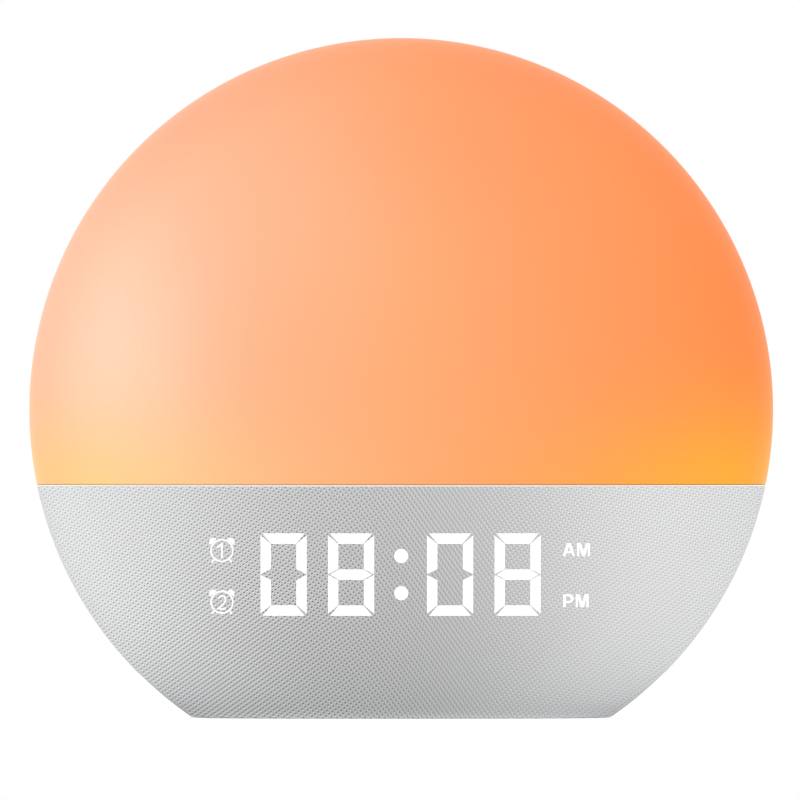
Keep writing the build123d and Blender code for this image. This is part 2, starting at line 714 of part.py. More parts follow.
def base_thread(x, y):
    top = PAD_THICK + SMALL_SCREW[1] + SMALL_SCREW[3] + 1
    return post(x, y, SMALL_SCREW[2] + THREAD_PLAY, PAD_THICK, top)


def base_plate():
    plate = base_outline(PANEL_IN + FIT) & level(PAD_THICK, BASE_TOP_Z)
    for x, y in base_screw_points():
        plate -= post(x, y, SMALL_SCREW[2] + FIT, 0, BASE_TOP_Z + OVERCUT)
        plate -= post(x, y, SMALL_SCREW[0] + FIT, 0, BASE_HEAD_Z)
    return plate


def base_pad():
    return base_outline(PANEL_IN + 1.5 * FIT) & level(0, PAD_THICK)


def base_screws():
    places = [Pos(x, y, BASE_HEAD_Z) for x, y in base_screw_points()]
    return Compound([place * Rot(180, 0, 0) * screw(SMALL_SCREW) for place in places])


# Rear housing


def rear_housing():
    shell = back_form(0) - back_form(HOUSING_WALL, BAND - OVERCUT)
    rebate_end = BAND + TONGUE_LENGTH + FIT
    rebate_r = TONGUE_R + TONGUE_THICK + TONGUE_PLAY
    shell -= ring(0, rebate_r, BAND - OVERCUT, rebate_end)
    inside = back_form(HOUSING_WALL / 2, BAND)
    adds = [part & inside for part in housing_posts()]
    shell = shell.fuse(*adds)
    for angle in CLIP_ANGLES:
        shell -= clip_pocket(angle)
    shell -= below(PAD_PROUD)
    for cut in housing_holes():
        shell -= cut
    return shell


def housing_posts():
    """Everything that stands on the inside of the back."""
    posts = [rod(x, z, BIG_POST_R, BAND + PARTING_GAP, FAR) for x, z in join_points()]
    posts += [rod(x, z, POST_R, REFLECTOR_BACK_Y, FAR) for x, z in led_screw_points()]
    posts += [rod(x, z, POST_R, MAIN_BOARD_Y, FAR) for x, z in main_screw_points()]
    posts += [rod(x, z, POST_R, MAIN_BOARD_Y, FAR) for x, z in power_screw_points()]
    posts += [base_post(x, BASE_SCREW_BACK_Y, BACK_Y) for x in (-BASE_SCREW_X, BASE_SCREW_X)]
    posts.append(rod(0, SPEAKER_Z, SPEAKER_R, SPEAKER_SEAT_Y, BACK_Y))
    posts.append(rod(CELL_X, CELL_Z, LUG_R + COVER_PLAY + CUP_WALL, HOLDER_Y, BACK_Y))
    posts.append(key_panel(KEY_PANEL_MARGIN, KEY_WALL_IN_Y, BACK_Y))
    for x in (-SNOOZE_POST_X, SNOOZE_POST_X):
        reach = SNOOZE_BOARD_DEPTH
        posts.append(snooze_plane() * Pos(x, 0, -reach / 2) * Cylinder(POST_R, reach))
    return posts


def housing_holes():
    cuts = []
    for x, z in join_points():
        cuts.append(rod(x, z, LONG_SCREW[0] + FIT, JOIN_HEAD_Y, FAR))
        cuts.append(rod(x, z, LONG_SCREW[2] + FIT, 0, JOIN_HEAD_Y + OVERCUT))
    for x, z in led_screw_points():
        cuts.append(thread_hole(SMALL_SCREW, x, z, 0, REFLECTOR_BACK_Y + SMALL_SCREW[3] + OVERCUT))
    for x, z in main_screw_points() + power_screw_points():
        hole_end = MAIN_BOARD_Y + SMALL_SCREW[3] + OVERCUT
        cuts.append(thread_hole(SMALL_SCREW, x, z, MAIN_BOARD_Y - OVERCUT, hole_end))
    for x, z in speaker_screw_points():
        cuts.append(thread_hole(SPEAKER_SCREW, x, z, SPEAKER_SEAT_Y - OVERCUT, BACK_IN_Y + OVERCUT))
    for x in (-BASE_SCREW_X, BASE_SCREW_X):
        cuts.append(base_thread(x, BASE_SCREW_BACK_Y))
    for x in (-SNOOZE_POST_X, SNOOZE_POST_X):
        hole = Cylinder(SMALL_SCREW[2] + THREAD_PLAY, SMALL_SCREW[3])
        cuts.append(snooze_plane() * Pos(x, 0, -SNOOZE_BOARD_DEPTH + SMALL_SCREW[3] / 2) * hole)
    return cuts + key_cuts() + speaker_cuts() + cell_cuts() + socket_cuts() + snooze_cuts()


def housing_screws():
    return Compound(
        [screw_along_y(LONG_SCREW, x, JOIN_HEAD_Y, z, True) for x, z in join_points()]
    )


# Keys and main board


def key_panel(grow, y_low, y_high):
    """The sunk panel round the keys, grown by grow."""
    wide, tall = KEY_PANEL_W + 2 * grow, KEY_PANEL_H + 2 * grow
    return Pos(0, 0, KEY_PANEL_Z) * prism(SlotOverall(wide, tall), y_low, y_high)


def key_points():
    return [(x, KEY_PANEL_Z + rise) for x, rise in KEYS.values()]


def key_slot(grow):
    return SlotOverall(KEY_W + 2 * grow, KEY_H + 2 * grow)


def key_cuts():
    holes = [Pos(x, 0, z) * prism(key_slot(KEY_PLAY), MAIN_BOARD_Y, FAR) for x, z in key_points()]
    return [key_panel(0, BACK_Y - KEY_PANEL_DEPTH, FAR)] + holes


def key(x, z):
    """A key cap with its flange inside the wall and the stem that works its switch."""
    cap = prism(key_slot(0), KEY_FLANGE_Y, BACK_Y)
    cap = fillet(cap.edges().group_by(Axis.Y)[-1], KEY_EDGE)
    flange = prism(key_slot(KEY_FLANGE), KEY_FLANGE_Y, KEY_FLANGE_Y + KEY_FLANGE_THICK)
    stem = rod(0, 0, STEM_R, SWITCH_TOP_Y - STEM_ENTRY, KEY_FLANGE_Y + KEY_FLANGE_THICK)
    return Pos(x, 0, z) * (cap + flange + stem)


def switch():
    """A push switch standing on the origin along +Z, with the well that its key's stem enters."""
    well_depth = STEM_ENTRY + KEY_TRAVEL + SWITCH_WELL_SPARE
    body = Pos(0, 0, SWITCH_H / 2) * Box(SWITCH_SIZE, SWITCH_SIZE, SWITCH_H)
    body = chamfer(body.edges().filter_by(Axis.Z), SWITCH_EDGE)
    return body - Pos(0, 0, SWITCH_H) * Cylinder(STEM_R + STEM_PLAY, 2 * well_depth)


def key_switches():
    upright = Rot(-90, 0, 0)
    return Compound([Pos(x, MAIN_BOARD_Y, z) * upright * switch() for x, z in key_points()])


def main_screw_points():
    spread = (-MAIN_SCREW_RISE, MAIN_SCREW_RISE)
    return [(x, MAIN_BOARD_Z + rise) for x in (-MAIN_SCREW_X, MAIN_SCREW_X) for rise in spread]


def upright_board(x, z, wide, tall, holes):
    outline = RectangleRounded(wide, tall, BOARD_CORNER)
    board = Pos(x, 0, z) * prism(outline, MAIN_FRONT_Y, MAIN_BOARD_Y)
    for hole_x, hole_z in holes:
        board -= rod(hole_x, hole_z, SMALL_SCREW[2] + FIT, MAIN_FRONT_Y - OVERCUT, MAIN_BOARD_Y + OVERCUT)
    return board


def main_board():
    """The main board, cut clear of the posts that carry the light engine."""
    board = upright_board(0, MAIN_BOARD_Z, MAIN_BOARD_W, MAIN_BOARD_H, main_screw_points())
    for x, z in led_screw_points():
        board -= rod(x, z, POST_R + FIT, MAIN_FRONT_Y - OVERCUT, MAIN_BOARD_Y + OVERCUT)
    return board


def board_screws():
    points = main_screw_points()
    return Compound([screw_along_y(SMALL_SCREW, x, MAIN_FRONT_Y, z, False) for x, z in points])


def on_board(place, size):
    """A component on the front of the main board."""
    x, rise = place
    wide, tall, thick = size
    return Pos(x, MAIN_FRONT_Y - thick / 2, MAIN_BOARD_Z + rise) * Box(wide, thick, tall)


def main_chip():
    chip = on_board(MAIN_CHIP_AT, MAIN_CHIP_SIZE)
    return chamfer(chip.edges().group_by(Axis.Y)[0], MAIN_CHIP_SIZE[2] / 4)


def flash_chip():
    chip = on_board(FLASH_CHIP_AT, FLASH_CHIP_SIZE)
    return chamfer(chip.edges().group_by(Axis.Y)[0], FLASH_CHIP_SIZE[2] / 5)


def crystal():
    can = on_board(CRYSTAL_AT, CRYSTAL_SIZE)
    return fillet(can.edges().filter_by(Axis.Y), CRYSTAL_SIZE[1] * 0.45)


def capacitors():
    cans = []
    for x, rise in CAPACITOR_AT:
        can = rod(x, MAIN_BOARD_Z + rise, CAPACITOR_R, MAIN_FRONT_Y - CAPACITOR_H, MAIN_FRONT_Y)
        cans.append(fillet(can.edges().group_by(Axis.Y)[0], CAPACITOR_R / 5))
    return Compound(cans)


def board_sockets():
    return Compound([on_board(place, PLUG_BOX) for place in SOCKET_AT.values()])


def socket_point(name):
    """(x, z) of a socket on the main board."""
    x, rise = SOCKET_AT[name]
    return x, MAIN_BOARD_Z + rise


# Snooze bar


def snooze_plane():
    """The plane that touches the housing under the middle of the bar; its normal is the bar's."""
    tilt = math.radians(SNOOZE_TILT)
    toward_back, toward_top = math.cos(tilt), math.sin(tilt)
    bend_y = BACK_Y - BACK_ROUND_R
    bend_z = CENTRE_Z + OUTLINE_R - BACK_ROUND_R
    origin = (0, bend_y + BACK_ROUND_R * toward_back, bend_z + BACK_ROUND_R * toward_top)
    return Plane(origin=origin, x_dir=(1, 0, 0), z_dir=(0, toward_back, toward_top))


def snooze_prism(grow, low, high):
    slot = SlotOverall(SNOOZE_W + 2 * grow, SNOOZE_H + 2 * grow)
    return extrude(snooze_plane().offset(low) * slot, high - low)


def snooze_cuts():
    return [snooze_prism(KEY_PLAY, -SNOOZE_BOARD_DEPTH, SNOOZE_H)]


def snooze_bar():
    low = -SNOOZE_BOARD_DEPTH
    shell = back_form(-SNOOZE_PROUD, BAND) - back_form(SNOOZE_FLANGE_DEPTH, BAND - OVERCUT)
    cap = shell & snooze_prism(0, low, SNOOZE_H)
    flange_top = HOUSING_WALL + SEAT_GAP
    layer = back_form(flange_top, BAND) - back_form(SNOOZE_FLANGE_DEPTH, BAND - OVERCUT)
    flange = layer & snooze_prism(KEY_FLANGE, low, SNOOZE_H)
    stem_low = -(SNOOZE_BOARD_DEPTH - SWITCH_H + STEM_ENTRY)
    stem = extrude(snooze_plane().offset(stem_low) * Circle(STEM_R), -stem_low - flange_top)
    return cap + flange + stem


def snooze_board():
    board_plane = snooze_plane().offset(-SNOOZE_BOARD_DEPTH)
    outline = RectangleRounded(SNOOZE_BOARD_W, SNOOZE_BOARD_H, BOARD_CORNER)
    board = extrude(board_plane * outline, -BOARD_THICK)
    for x in (-SNOOZE_POST_X, SNOOZE_POST_X):
        board -= board_plane * Pos(x, 0, 0) * Cylinder(SMALL_SCREW[2] + FIT, 4 * BOARD_THICK)
    return board


def snooze_switch():
    return snooze_plane().offset(-SNOOZE_BOARD_DEPTH) * switch()


def snooze_screws():
    under = snooze_plane().offset(-SNOOZE_BOARD_DEPTH - BOARD_THICK)
    turned_over = Rot(180, 0, 0) * screw(SHORT_SCREW)
    return Compound([under * Pos(x, 0, 0) * turned_over for x in (-SNOOZE_POST_X, SNOOZE_POST_X)])


# Speaker


def speaker_screw_points():
    reach = SPEAKER_SCREW_R * math.sqrt(0.5)
    return [(x, SPEAKER_Z + z) for x in (-reach, reach) for z in (-reach, reach)]


def speaker_cuts():
    """The mouth in the seat, and the sound slots through the wall."""
    cuts = [rod(0, SPEAKER_Z, MOUTH_R, 0, BACK_IN_Y)]
    for index in range(SLOT_COUNT):
        rise = (index - (SLOT_COUNT - 1) / 2) * SLOT_PITCH
        length = 2 * math.sqrt(SLOT_FIELD_R**2 - rise**2)
        slot = prism(SlotOverall(length, SLOT_W), BACK_IN_Y - OVERCUT, FAR)
        cuts.append(Pos(0, 0, SPEAKER_Z + rise) * slot)
    return cuts


def speaker_gasket():
    seal = rod(0, SPEAKER_Z, SPEAKER_R, SPEAKER_SEAT_Y - GASKET_THICK, SPEAKER_SEAT_Y)
    seal -= rod(0, SPEAKER_Z, MOUTH_R, 0, BACK_Y)
    for x, z in speaker_screw_points():
        seal -= rod(x, z, SPEAKER_SCREW[2] + FIT, 0, BACK_Y)
    return seal


def speaker_basket():
    """A pressed flange, a cone-shaped frame with four windows, and a floor for the magnet."""
    floor_y = BASKET_FLOOR_Y
    out = MOUTH_R + BASKET_THICK
    frame = turned_at(
        0,
        SPEAKER_Z,
        [
            (MOUTH_R, FLANGE_Y + FLANGE_THICK),
            (SPEAKER_R, FLANGE_Y + FLANGE_THICK),
            (SPEAKER_R, FLANGE_Y),
            (out, FLANGE_Y),
            (MAGNET_R + BASKET_THICK, floor_y),
            (DUST_R - BASKET_THICK, floor_y),
            (DUST_R - BASKET_THICK, floor_y + BASKET_THICK),
            (MAGNET_R + BASKET_THICK / 2, floor_y + BASKET_THICK),
            (MOUTH_R, FLANGE_Y - BASKET_THICK / 2),
        ],
    )
    tall = BASKET_DEPTH * 0.45
    window = Box(FAR, tall, BASKET_WINDOW) + Box(BASKET_WINDOW, tall, FAR)
    frame -= Pos(0, FLANGE_Y - BASKET_DEPTH / 2, SPEAKER_Z) * window
    for x, z in speaker_screw_points():
        frame -= rod(x, z, SPEAKER_SCREW[2] + FIT, FLANGE_Y - OVERCUT, BACK_Y)
    return frame


def speaker_magnet():
    magnet = rod(0, SPEAKER_Z, MAGNET_R, BASKET_FLOOR_Y - MAGNET_H, BASKET_FLOOR_Y)
    return chamfer(magnet.edges().group_by(Axis.Y)[0], MAGNET_EDGE)


def speaker_surround():
    """The rubber half-roll between the cone and the frame."""
    inner, outer = CONE_R + THREAD_PLAY, MOUTH_R - THREAD_PLAY
    middle, rise = (inner + outer) / 2, (outer - inner) / 3
    top, low = CONE_TOP_Y, CONE_TOP_Y - CONE_THICK
    over = [(inner, low), (inner, top), (middle - rise / 2, top + rise)]
    over += [(middle + rise / 2, top + rise), (outer, top), (outer, low)]
    under = [(middle + rise / 2, low + rise), (middle - rise / 2, low + rise)]
    return turned_at(0, SPEAKER_Z, over + under)


def speaker_cone():
    top, low = CONE_TOP_Y, CONE_TOP_Y - CONE_DEPTH
    paper = [(CONE_R, top), (CONE_R, top - CONE_THICK), (DUST_R, low - CONE_THICK), (DUST_R, low)]
    return turned_at(0, SPEAKER_Z, paper)


def speaker_dust_cap():
    radius, low = DUST_R - THREAD_PLAY, CONE_TOP_Y - CONE_DEPTH
    over = [(0, low + DUST_RISE), (radius * 0.6, low + DUST_RISE * 0.8), (radius, low)]
    under = [(r, y - CONE_THICK) for r, y in reversed(over)]
    return turned_at(0, SPEAKER_Z, over + under)


def speaker_screws():
    points = speaker_screw_points()
    return Compound([screw_along_y(SPEAKER_SCREW, x, FLANGE_Y, z, False) for x, z in points])


# Coin cell


def sector(r_low, r_high, y_low, y_high, middle_angle, wide_angle):
    """Part of a ring about the coin cell's axis."""
    corners = [(r_low, y_low), (r_high, y_low), (r_high, y_high), (r_low, y_high)]
    piece = revolve(make_face(chain(corners)), Axis.Y, wide_angle)
    return Pos(CELL_X, 0, CELL_Z) * Rot(0, middle_angle - wide_angle / 2, 0) * piece


def lug_angles():
    return [index * 360 / LUG_COUNT for index in range(LUG_COUNT)]


def cell_cuts():
    cuts = [
        rod(CELL_X, CELL_Z, COVER_R + COVER_PLAY, COVER_IN_Y - THREAD_PLAY, FAR),
        rod(CELL_X, CELL_Z, NECK_R + COVER_PLAY, 0, FAR),
        rod(CELL_X, CELL_Z, LUG_R + COVER_PLAY, 0, BACK_IN_Y),
    ]
    notch_r = LUG_R + COVER_PLAY / 2
    notch = LUG_ANGLE * 1.2
    for angle in lug_angles():
        cuts.append(sector(NECK_R, notch_r, BACK_IN_Y - OVERCUT, FAR, angle + UNLOCK_ANGLE, notch))
    return cuts


def battery_cover():
    disc = rod(CELL_X, CELL_Z, COVER_R, COVER_IN_Y, BACK_Y)
    disc = chamfer(disc.edges().group_by(Axis.Y)[-1], COVER_THICK / 4)
    neck_low = BACK_IN_Y - SEAT_GAP - LUG_THICK
    cover = disc + rod(CELL_X, CELL_Z, NECK_R, neck_low, COVER_IN_Y)
    cover += rod(CELL_X, CELL_Z, CELL_R - SEAT_GAP, CELL_OUT_Y + SEAT_GAP, neck_low)
    for angle in lug_angles():
        cover += sector(NECK_R - LUG_ROOT, LUG_R, neck_low, BACK_IN_Y - SEAT_GAP, angle, LUG_ANGLE)
    wide, tall, deep = COIN_SLOT
    slot = prism(SlotOverall(wide, tall), BACK_Y - deep, FAR)
    return cover - Pos(CELL_X, 0, CELL_Z) * slot


def coin_cell():
    cell = rod(CELL_X, CELL_Z, CELL_R, CELL_IN_Y, CELL_OUT_Y)
    return fillet(cell.edges(), CELL_THICK / 9)


def cell_holder():
    cup = rod(CELL_X, CELL_Z, LUG_R, HOLDER_Y, CELL_OUT_Y)
    return cup - rod(CELL_X, CELL_Z, CELL_R + SEAT_GAP, CELL_IN_Y - SEAT_GAP, BACK_Y)


def cell_contacts():
    """The sprung strip under the cell and the curved strip at its side."""
    half_length, half_width = CONTACT_LENGTH / 2, CONTACT_WIDTH / 2
    inner_r = CELL_R + THREAD_PLAY
    strip = block(
        (CELL_X - half_length, CELL_X + half_length),
        (CELL_IN_Y - THREAD_PLAY - CONTACT_THICK, CELL_IN_Y - THREAD_PLAY),
        (CELL_Z - half_width, CELL_Z + half_width),
    )
    side = sector(inner_r, inner_r + CONTACT_THICK, CELL_IN_Y, CELL_OUT_Y, 90, 40)
    return Compound([strip, side])


# Power socket


def power_screw_points():
    return [(SOCKET_X + side * POWER_SCREW_X, SOCKET_Z) for side in (-1, 1)]


def socket_cuts():
    wide, tall, deep = SOCKET_DISH
    dish = prism(SlotOverall(wide, tall), BACK_Y - deep, FAR)
    hole = prism(SlotOverall(SOCKET_W + 2 * SOCKET_PLAY, SOCKET_H + 2 * SOCKET_PLAY), 0, FAR)
    return [Pos(SOCKET_X, 0, SOCKET_Z) * dish, Pos(SOCKET_X, 0, SOCKET_Z) * hole]


def usb_port():
    """The pressed shell of a socket that stands upright on its board."""
    outer = prism(SlotOverall(SOCKET_W, SOCKET_H), MAIN_BOARD_Y, PORT_FRONT_Y)
    inner = prism(
        SlotOverall(SOCKET_W - 2 * SOCKET_WALL, SOCKET_H - 2 * SOCKET_WALL),
        PORT_BASE_Y,
        PORT_FRONT_Y + OVERCUT,
    )
    return Pos(SOCKET_X, 0, SOCKET_Z) * (outer - inner)


def usb_tongue():
    outline = RectangleRounded(*TONGUE_SIZE, TONGUE_SIZE[1] / 4)
    tongue = prism(outline, PORT_BASE_Y, PORT_FRONT_Y - TONGUE_SET)
    return Pos(SOCKET_X, 0, SOCKET_Z) * tongue


def power_board():
    return upright_board(SOCKET_X, SOCKET_Z, POWER_BOARD_W, POWER_BOARD_H, power_screw_points())


def power_screws():
    points = power_screw_points()
    return Compound([screw_along_y(SMALL_SCREW, x, MAIN_FRONT_Y, z, False) for x, z in points])


# Cables


def led_cable():
    x, z = socket_point("led")
    turn_y = (REFLECTOR_BACK_Y + SOCKET_FACE_Y) / 2
    route = [(LED_CABLE_X, REFLECTOR_Y, LED_CABLE_Z), (LED_CABLE_X, turn_y, LED_CABLE_Z)]
    return tube(route + [(x, turn_y, z), (x, SOCKET_FACE_Y, z)], [CABLE_BEND, CABLE_BEND])


def speaker_cable():
    """From the speaker's flange, under the main board, and up to its front."""
    x, z = socket_point("speaker")
    turn_y = SOCKET_FACE_Y - CABLE_TURN
    tag_z = SPEAKER_Z + math.sqrt(SPEAKER_SCREW_R**2 - x**2)
    route = [(x, FLANGE_Y, tag_z), (x, turn_y, tag_z), (x, turn_y, z)]
    return tube(route + [(x, SOCKET_FACE_Y, z)], [CABLE_BEND, CABLE_BEND])


def display_cable():
    x, z = socket_point("display")
    turn_y = SOCKET_FACE_Y - CABLE_TURN
    route = [(x, DISPLAY_BACK_Y, DISPLAY_Z), (x, turn_y, DISPLAY_Z), (x, turn_y, z)]
    return tube(route + [(x, SOCKET_FACE_Y, z)], [DISPLAY_CABLE_BEND, CABLE_BEND])


def power_cable():
    x, z = socket_point("power")
    turn_y = SOCKET_FACE_Y - CABLE_TURN
    low_z, bend_z = SOCKET_Z + POWER_CABLE_RISE, CENTRE_Z + POWER_CABLE_BEND_RISE
    route = [(SOCKET_X, MAIN_FRONT_Y, low_z), (SOCKET_X, turn_y, low_z), (SOCKET_X, turn_y, bend_z)]
    bends = [POWER_CABLE_BEND, POWER_CABLE_BEND, CABLE_BEND]
    return tube(route + [(x, turn_y, z), (x, SOCKET_FACE_Y, z)], bends)


def main():
    windows = window_sketches()
    makers = [
        diffuser_dome, divider_shelf, shelf_screws, grille_cloth, front_panel,
        display_board, display_screws, light_reflector, led_board, led_chips, led_screws,
        base_plate, base_pad, base_screws, rear_housing, housing_screws,
        key_switches, main_board, board_screws, main_chip, flash_chip, crystal, capacitors,
        board_sockets, snooze_bar, snooze_board, snooze_switch, snooze_screws,
        speaker_gasket, speaker_basket, speaker_magnet, speaker_surround, speaker_cone,
        speaker_dust_cap, speaker_screws, battery_cover, coin_cell, cell_holder, cell_contacts,
        usb_port, usb_tongue, power_board, power_screws,
        led_cable, speaker_cable, display_cable, power_cable,
    ]
    for make in makers:
        save(make.__name__, make())
    for make in (display_light_box, segment_lenses, display_leds):
        save(make.__name__, make(windows))
    for name, (x, rise) in KEYS.items():
        save(name, key(x, KEY_PANEL_Z + rise))


main()
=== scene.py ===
import json
import math

import bmesh
import bpy
from bpy.props import FloatProperty, FloatVectorProperty, IntProperty, PointerProperty
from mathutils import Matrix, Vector


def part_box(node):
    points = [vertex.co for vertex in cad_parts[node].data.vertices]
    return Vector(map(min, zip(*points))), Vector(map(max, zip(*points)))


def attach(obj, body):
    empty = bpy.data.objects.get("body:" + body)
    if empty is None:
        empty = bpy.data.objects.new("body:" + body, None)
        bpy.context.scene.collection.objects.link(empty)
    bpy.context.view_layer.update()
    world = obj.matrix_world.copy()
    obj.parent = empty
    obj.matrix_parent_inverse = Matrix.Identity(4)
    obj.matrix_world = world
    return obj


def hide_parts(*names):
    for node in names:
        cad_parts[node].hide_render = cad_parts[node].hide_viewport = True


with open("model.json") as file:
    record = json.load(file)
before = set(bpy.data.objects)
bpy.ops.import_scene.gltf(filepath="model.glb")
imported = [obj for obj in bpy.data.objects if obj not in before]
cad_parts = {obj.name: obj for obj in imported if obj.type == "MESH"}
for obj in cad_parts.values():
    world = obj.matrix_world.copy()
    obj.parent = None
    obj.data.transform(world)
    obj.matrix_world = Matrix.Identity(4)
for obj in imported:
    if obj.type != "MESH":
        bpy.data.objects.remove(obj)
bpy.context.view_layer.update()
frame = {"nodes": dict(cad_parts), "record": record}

bl_info = {
    "name": "Sunrise Alarm Clock",
    "version": (1, 0, 0),
    "blender": (4, 5, 0),
    "location": "3D View > Sidebar > Sunrise Clock",
    "description": "Dome, cloth, lit display, finishes and studio of a sunrise alarm clock",
    "category": "Object",
}

# The clock faces -Y and stands on Z = 0. Its outline is a circle, and its front is turned about
# an axis along Y through that circle's centre.
MM = 0.001
BODY = "clock"
dome_low, dome_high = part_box("diffuser_dome")
cloth_low, cloth_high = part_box("grille_cloth")
port_low, port_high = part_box("usb_tongue")
OUTLINE_R = dome_high.x
CENTRE_Z = dome_high.z - OUTLINE_R
FRONT_DEPTH = -dome_low.y
BAND = cloth_high.y
SHOULDER_R = 26.0 * MM
KNUCKLE = OUTLINE_R - SHOULDER_R
CROWN_R = (KNUCKLE**2 + FRONT_DEPTH**2 - SHOULDER_R**2) / (2 * (FRONT_DEPTH - SHOULDER_R))
CROWN_Y = CROWN_R - FRONT_DEPTH
LEAN = math.asin(KNUCKLE / (CROWN_R - SHOULDER_R))
TANGENT_R = CROWN_R * math.sin(LEAN)

# The dome's rim behind the parting line, as the housing takes it
TONGUE_LOW_R = 88.0 * MM
TONGUE_HIGH_R = 88.9 * MM
TONGUE_END = BAND + 1.8 * MM
CLIP_ANGLES = (22, 56, 90, 124, 158)
CLIP_HALF_WIDTH = 4.0 * MM
CLIP_THICK = 1.2 * MM
CLIP_R = 87.4 * MM
CLIP_HOOK = 0.7 * MM
CLIP_START = BAND - 6.0 * MM
CLIP_END = BAND + 7.0 * MM
CLIP_HOOK_START = CLIP_END - 2.2 * MM
DOME_STEPS = 288
MERGE = 0.001 * MM

# Places of the lit signs on the cloth, in millimetres from the middle and up from the floor
DIGIT_X = (-28.35, -12.08, 11.78, 28.05)
DIGITS_Z = 34.83
LIT_DIGITS = "0808"
COLON_RISE = 4.49
ALARM_SIGN_X = -43.23
ALARM_SIGN_Z = {"1": 40.61, "2": 28.14}
HALF_DAY_PLACES = {"A": (38.91, 39.27), "P": (39.04, 26.93)}

# Alarm signs, lit and on the keys: a ring with bells, feet and a number, in millimetres
BELL_R = 1.0
BELL_GAP = 0.1
KEY_RING_R = 2.8
KEY_RING_LINE = 0.42
KEY_RING_TALL = 6.4

# Keys on the back: the body of each, and its sign
KEY_SIGNS = {
    "key_alarm_1": "alarm 1", "key_clock": "clock", "key_alarm_2": "alarm 2",
    "key_minus": "minus", "key_light": "light", "key_plus": "plus",
}
KEY_SIGN_PROUD = 0.03 * MM
KEY_SIGN_SUNK = 0.05 * MM

# Contacts of the power socket, in two rows
CONTACTS = 12
CONTACT_PITCH = 0.5 * MM
CONTACT_HALF_WIDTH = 0.12 * MM
CONTACT_THICK = 0.03 * MM
CONTACT_SET_BACK = 0.5 * MM

# Soft patches of colour, painted light and shade on the front: middle, reach and strength, in
# outline radii
# The dome's pale patch at the left is a painted highlight of the key softbox; the haze spreads it
DOME_PAINTED_HIGHLIGHT = ((-0.79, 0.16), (0.24, 0.44), 1.0)
DOME_HIGHLIGHT_SPREAD = ((-0.3, 0.58), (0.36, 0.34), 0.14)
DOME_STRAW = ((-1.0, -0.24), (0.6, 0.22), 0.7)
DOME_AMBER = ((1.02, -0.24), (0.56, 0.24), 0.7)
DOME_CROWN = ((0.12, 0.78), (0.45, 0.28), 0.15)
# Where painted shade on the threads' relief is strongest: low at the left, and in the middle
CLOTH_RELIEF_SHADE = ((-0.42, -0.85), (0.35, 0.62), 1.0)
CLOTH_MIDDLE_RELIEF_SHADE = ((0.04, -0.5), (0.34, 3.0), 0.14)
# Painted light on the cloth: paler at both sides, where the side lamps fall
CLOTH_PAINTED_LIGHT_LEFT = ((-0.85, -0.85), (0.45, 1.2), 0.4)
CLOTH_PAINTED_LIGHT_RIGHT = ((0.72, -0.85), (0.43, 1.2), 0.43)

# Soft lamps: name, width, height, place, and whether shiny pieces mirror them
LAMPS = (
    ("key", 0.34, 0.8, (-0.86, -0.86, 0.42), True),
    ("left", 0.5, 0.8, (-1.08, -0.54, 0.3), False),
    ("right", 0.5, 0.8, (1.08, -0.54, 0.3), False),
    ("back", 0.8, 0.6, (0.0, 1.2, 0.7), False),
)
WHITE = (1.0, 1.0, 1.0)
BACKDROP_RAYS = ("Is Camera Ray", "Is Glossy Ray", "Is Transmission Ray")


def srgb(red, green, blue):
    """A colour written from 0 to 255, as the linear values that Blender keeps."""
    shares = (red / 255, green / 255, blue / 255)
    return tuple(c / 12.92 if c <= 0.04045 else ((c + 0.055) / 1.055) ** 2.4 for c in shares)


def length(name, description, default):
    return FloatProperty(
        name=name, description=description, default=default * MM, unit="LENGTH", precision=5
    )


def share(name, description, default):
    return FloatProperty(
        name=name, description=description, default=default, min=0.0, max=1.0, subtype="FACTOR"
    )


def colour(name, description, default):
    return FloatVectorProperty(
        name=name, description=description, default=default, size=3, min=0.0, max=1.0,
        subtype="COLOR",
    )


def power(name, default):
    return FloatProperty(name=name, description="Power of the lamp", default=default, unit="POWER")


# Settings


class DomeSettings(bpy.types.PropertyGroup):
    wall: length("Wall", "Thickness of the frosted shell", 2.0)
    edge: length("Lower edge", "Rounding of the dome's lower edge", 0.1)
    lip_set: length("Lip set", "From the dome's outside to the lip under its edge", 0.2)
    lip: length("Lip", "Height of the lip that fills the shadow line", 0.3)
    grain: length("Grain", "Size of the frosted grain", 0.42)
    grain_depth: length("Grain depth", "Height of the frosted grain", 0.02)
    far_left: colour("Far left", "Glow at the left of the outline", srgb(253, 190, 150))
    left: colour("Left", "Glow of the left third", srgb(254, 184, 143))
    middle: colour("Middle", "Glow of the middle", srgb(254, 172, 117))
    right: colour("Right", "Glow of the right third", srgb(254, 153, 92))
    far_right: colour("Far right", "Glow at the right of the outline", srgb(254, 142, 71))
    # Painted highlight: the key softbox mirrored at the dome's left
    painted_highlight: colour("Soft light", "Where the dome's left is palest", srgb(255, 219, 190))
    amber: colour("Amber", "Low glow near the cloth, at the right", srgb(255, 192, 40))
    straw: colour("Straw", "Low glow near the cloth, at the left", srgb(255, 216, 128))
    # Painted shade: the glow's deeper tone toward the outline
    rim: colour("Rim", "Deeper tone at the outline", srgb(250, 105, 60))
    glow: share("Glow", "How much of the colour shines from inside", 0.84)
    body: share("Body colour", "How much of the colour is the shell's own", 0.14)


class ClothSettings(bpy.types.PropertyGroup):
    thick: length("Thickness", "Thickness of the cloth", 0.6)
    edge: length("Edge", "Rounding of the cut edges", 0.15)
    hem: length("Hem", "How far the hem hangs past the front panel", 0.24)
    pitch: length("Thread pitch", "Distance from one thread to the next", 0.9414)
    turn: FloatProperty(
        name="Thread turn",
        description="Angle of the first threads above the horizontal",
        default=math.radians(34.94),
        subtype="ANGLE",
    )
    columns: IntProperty(name="Columns", description="Faces across the cloth", default=260)
    rows: IntProperty(name="Rows", description="Faces up the cloth", default=84)
    thread: colour("Thread", "Colour of the threads", srgb(196, 197, 198))
    relief: length("Relief", "Height of the threads", 0.02)


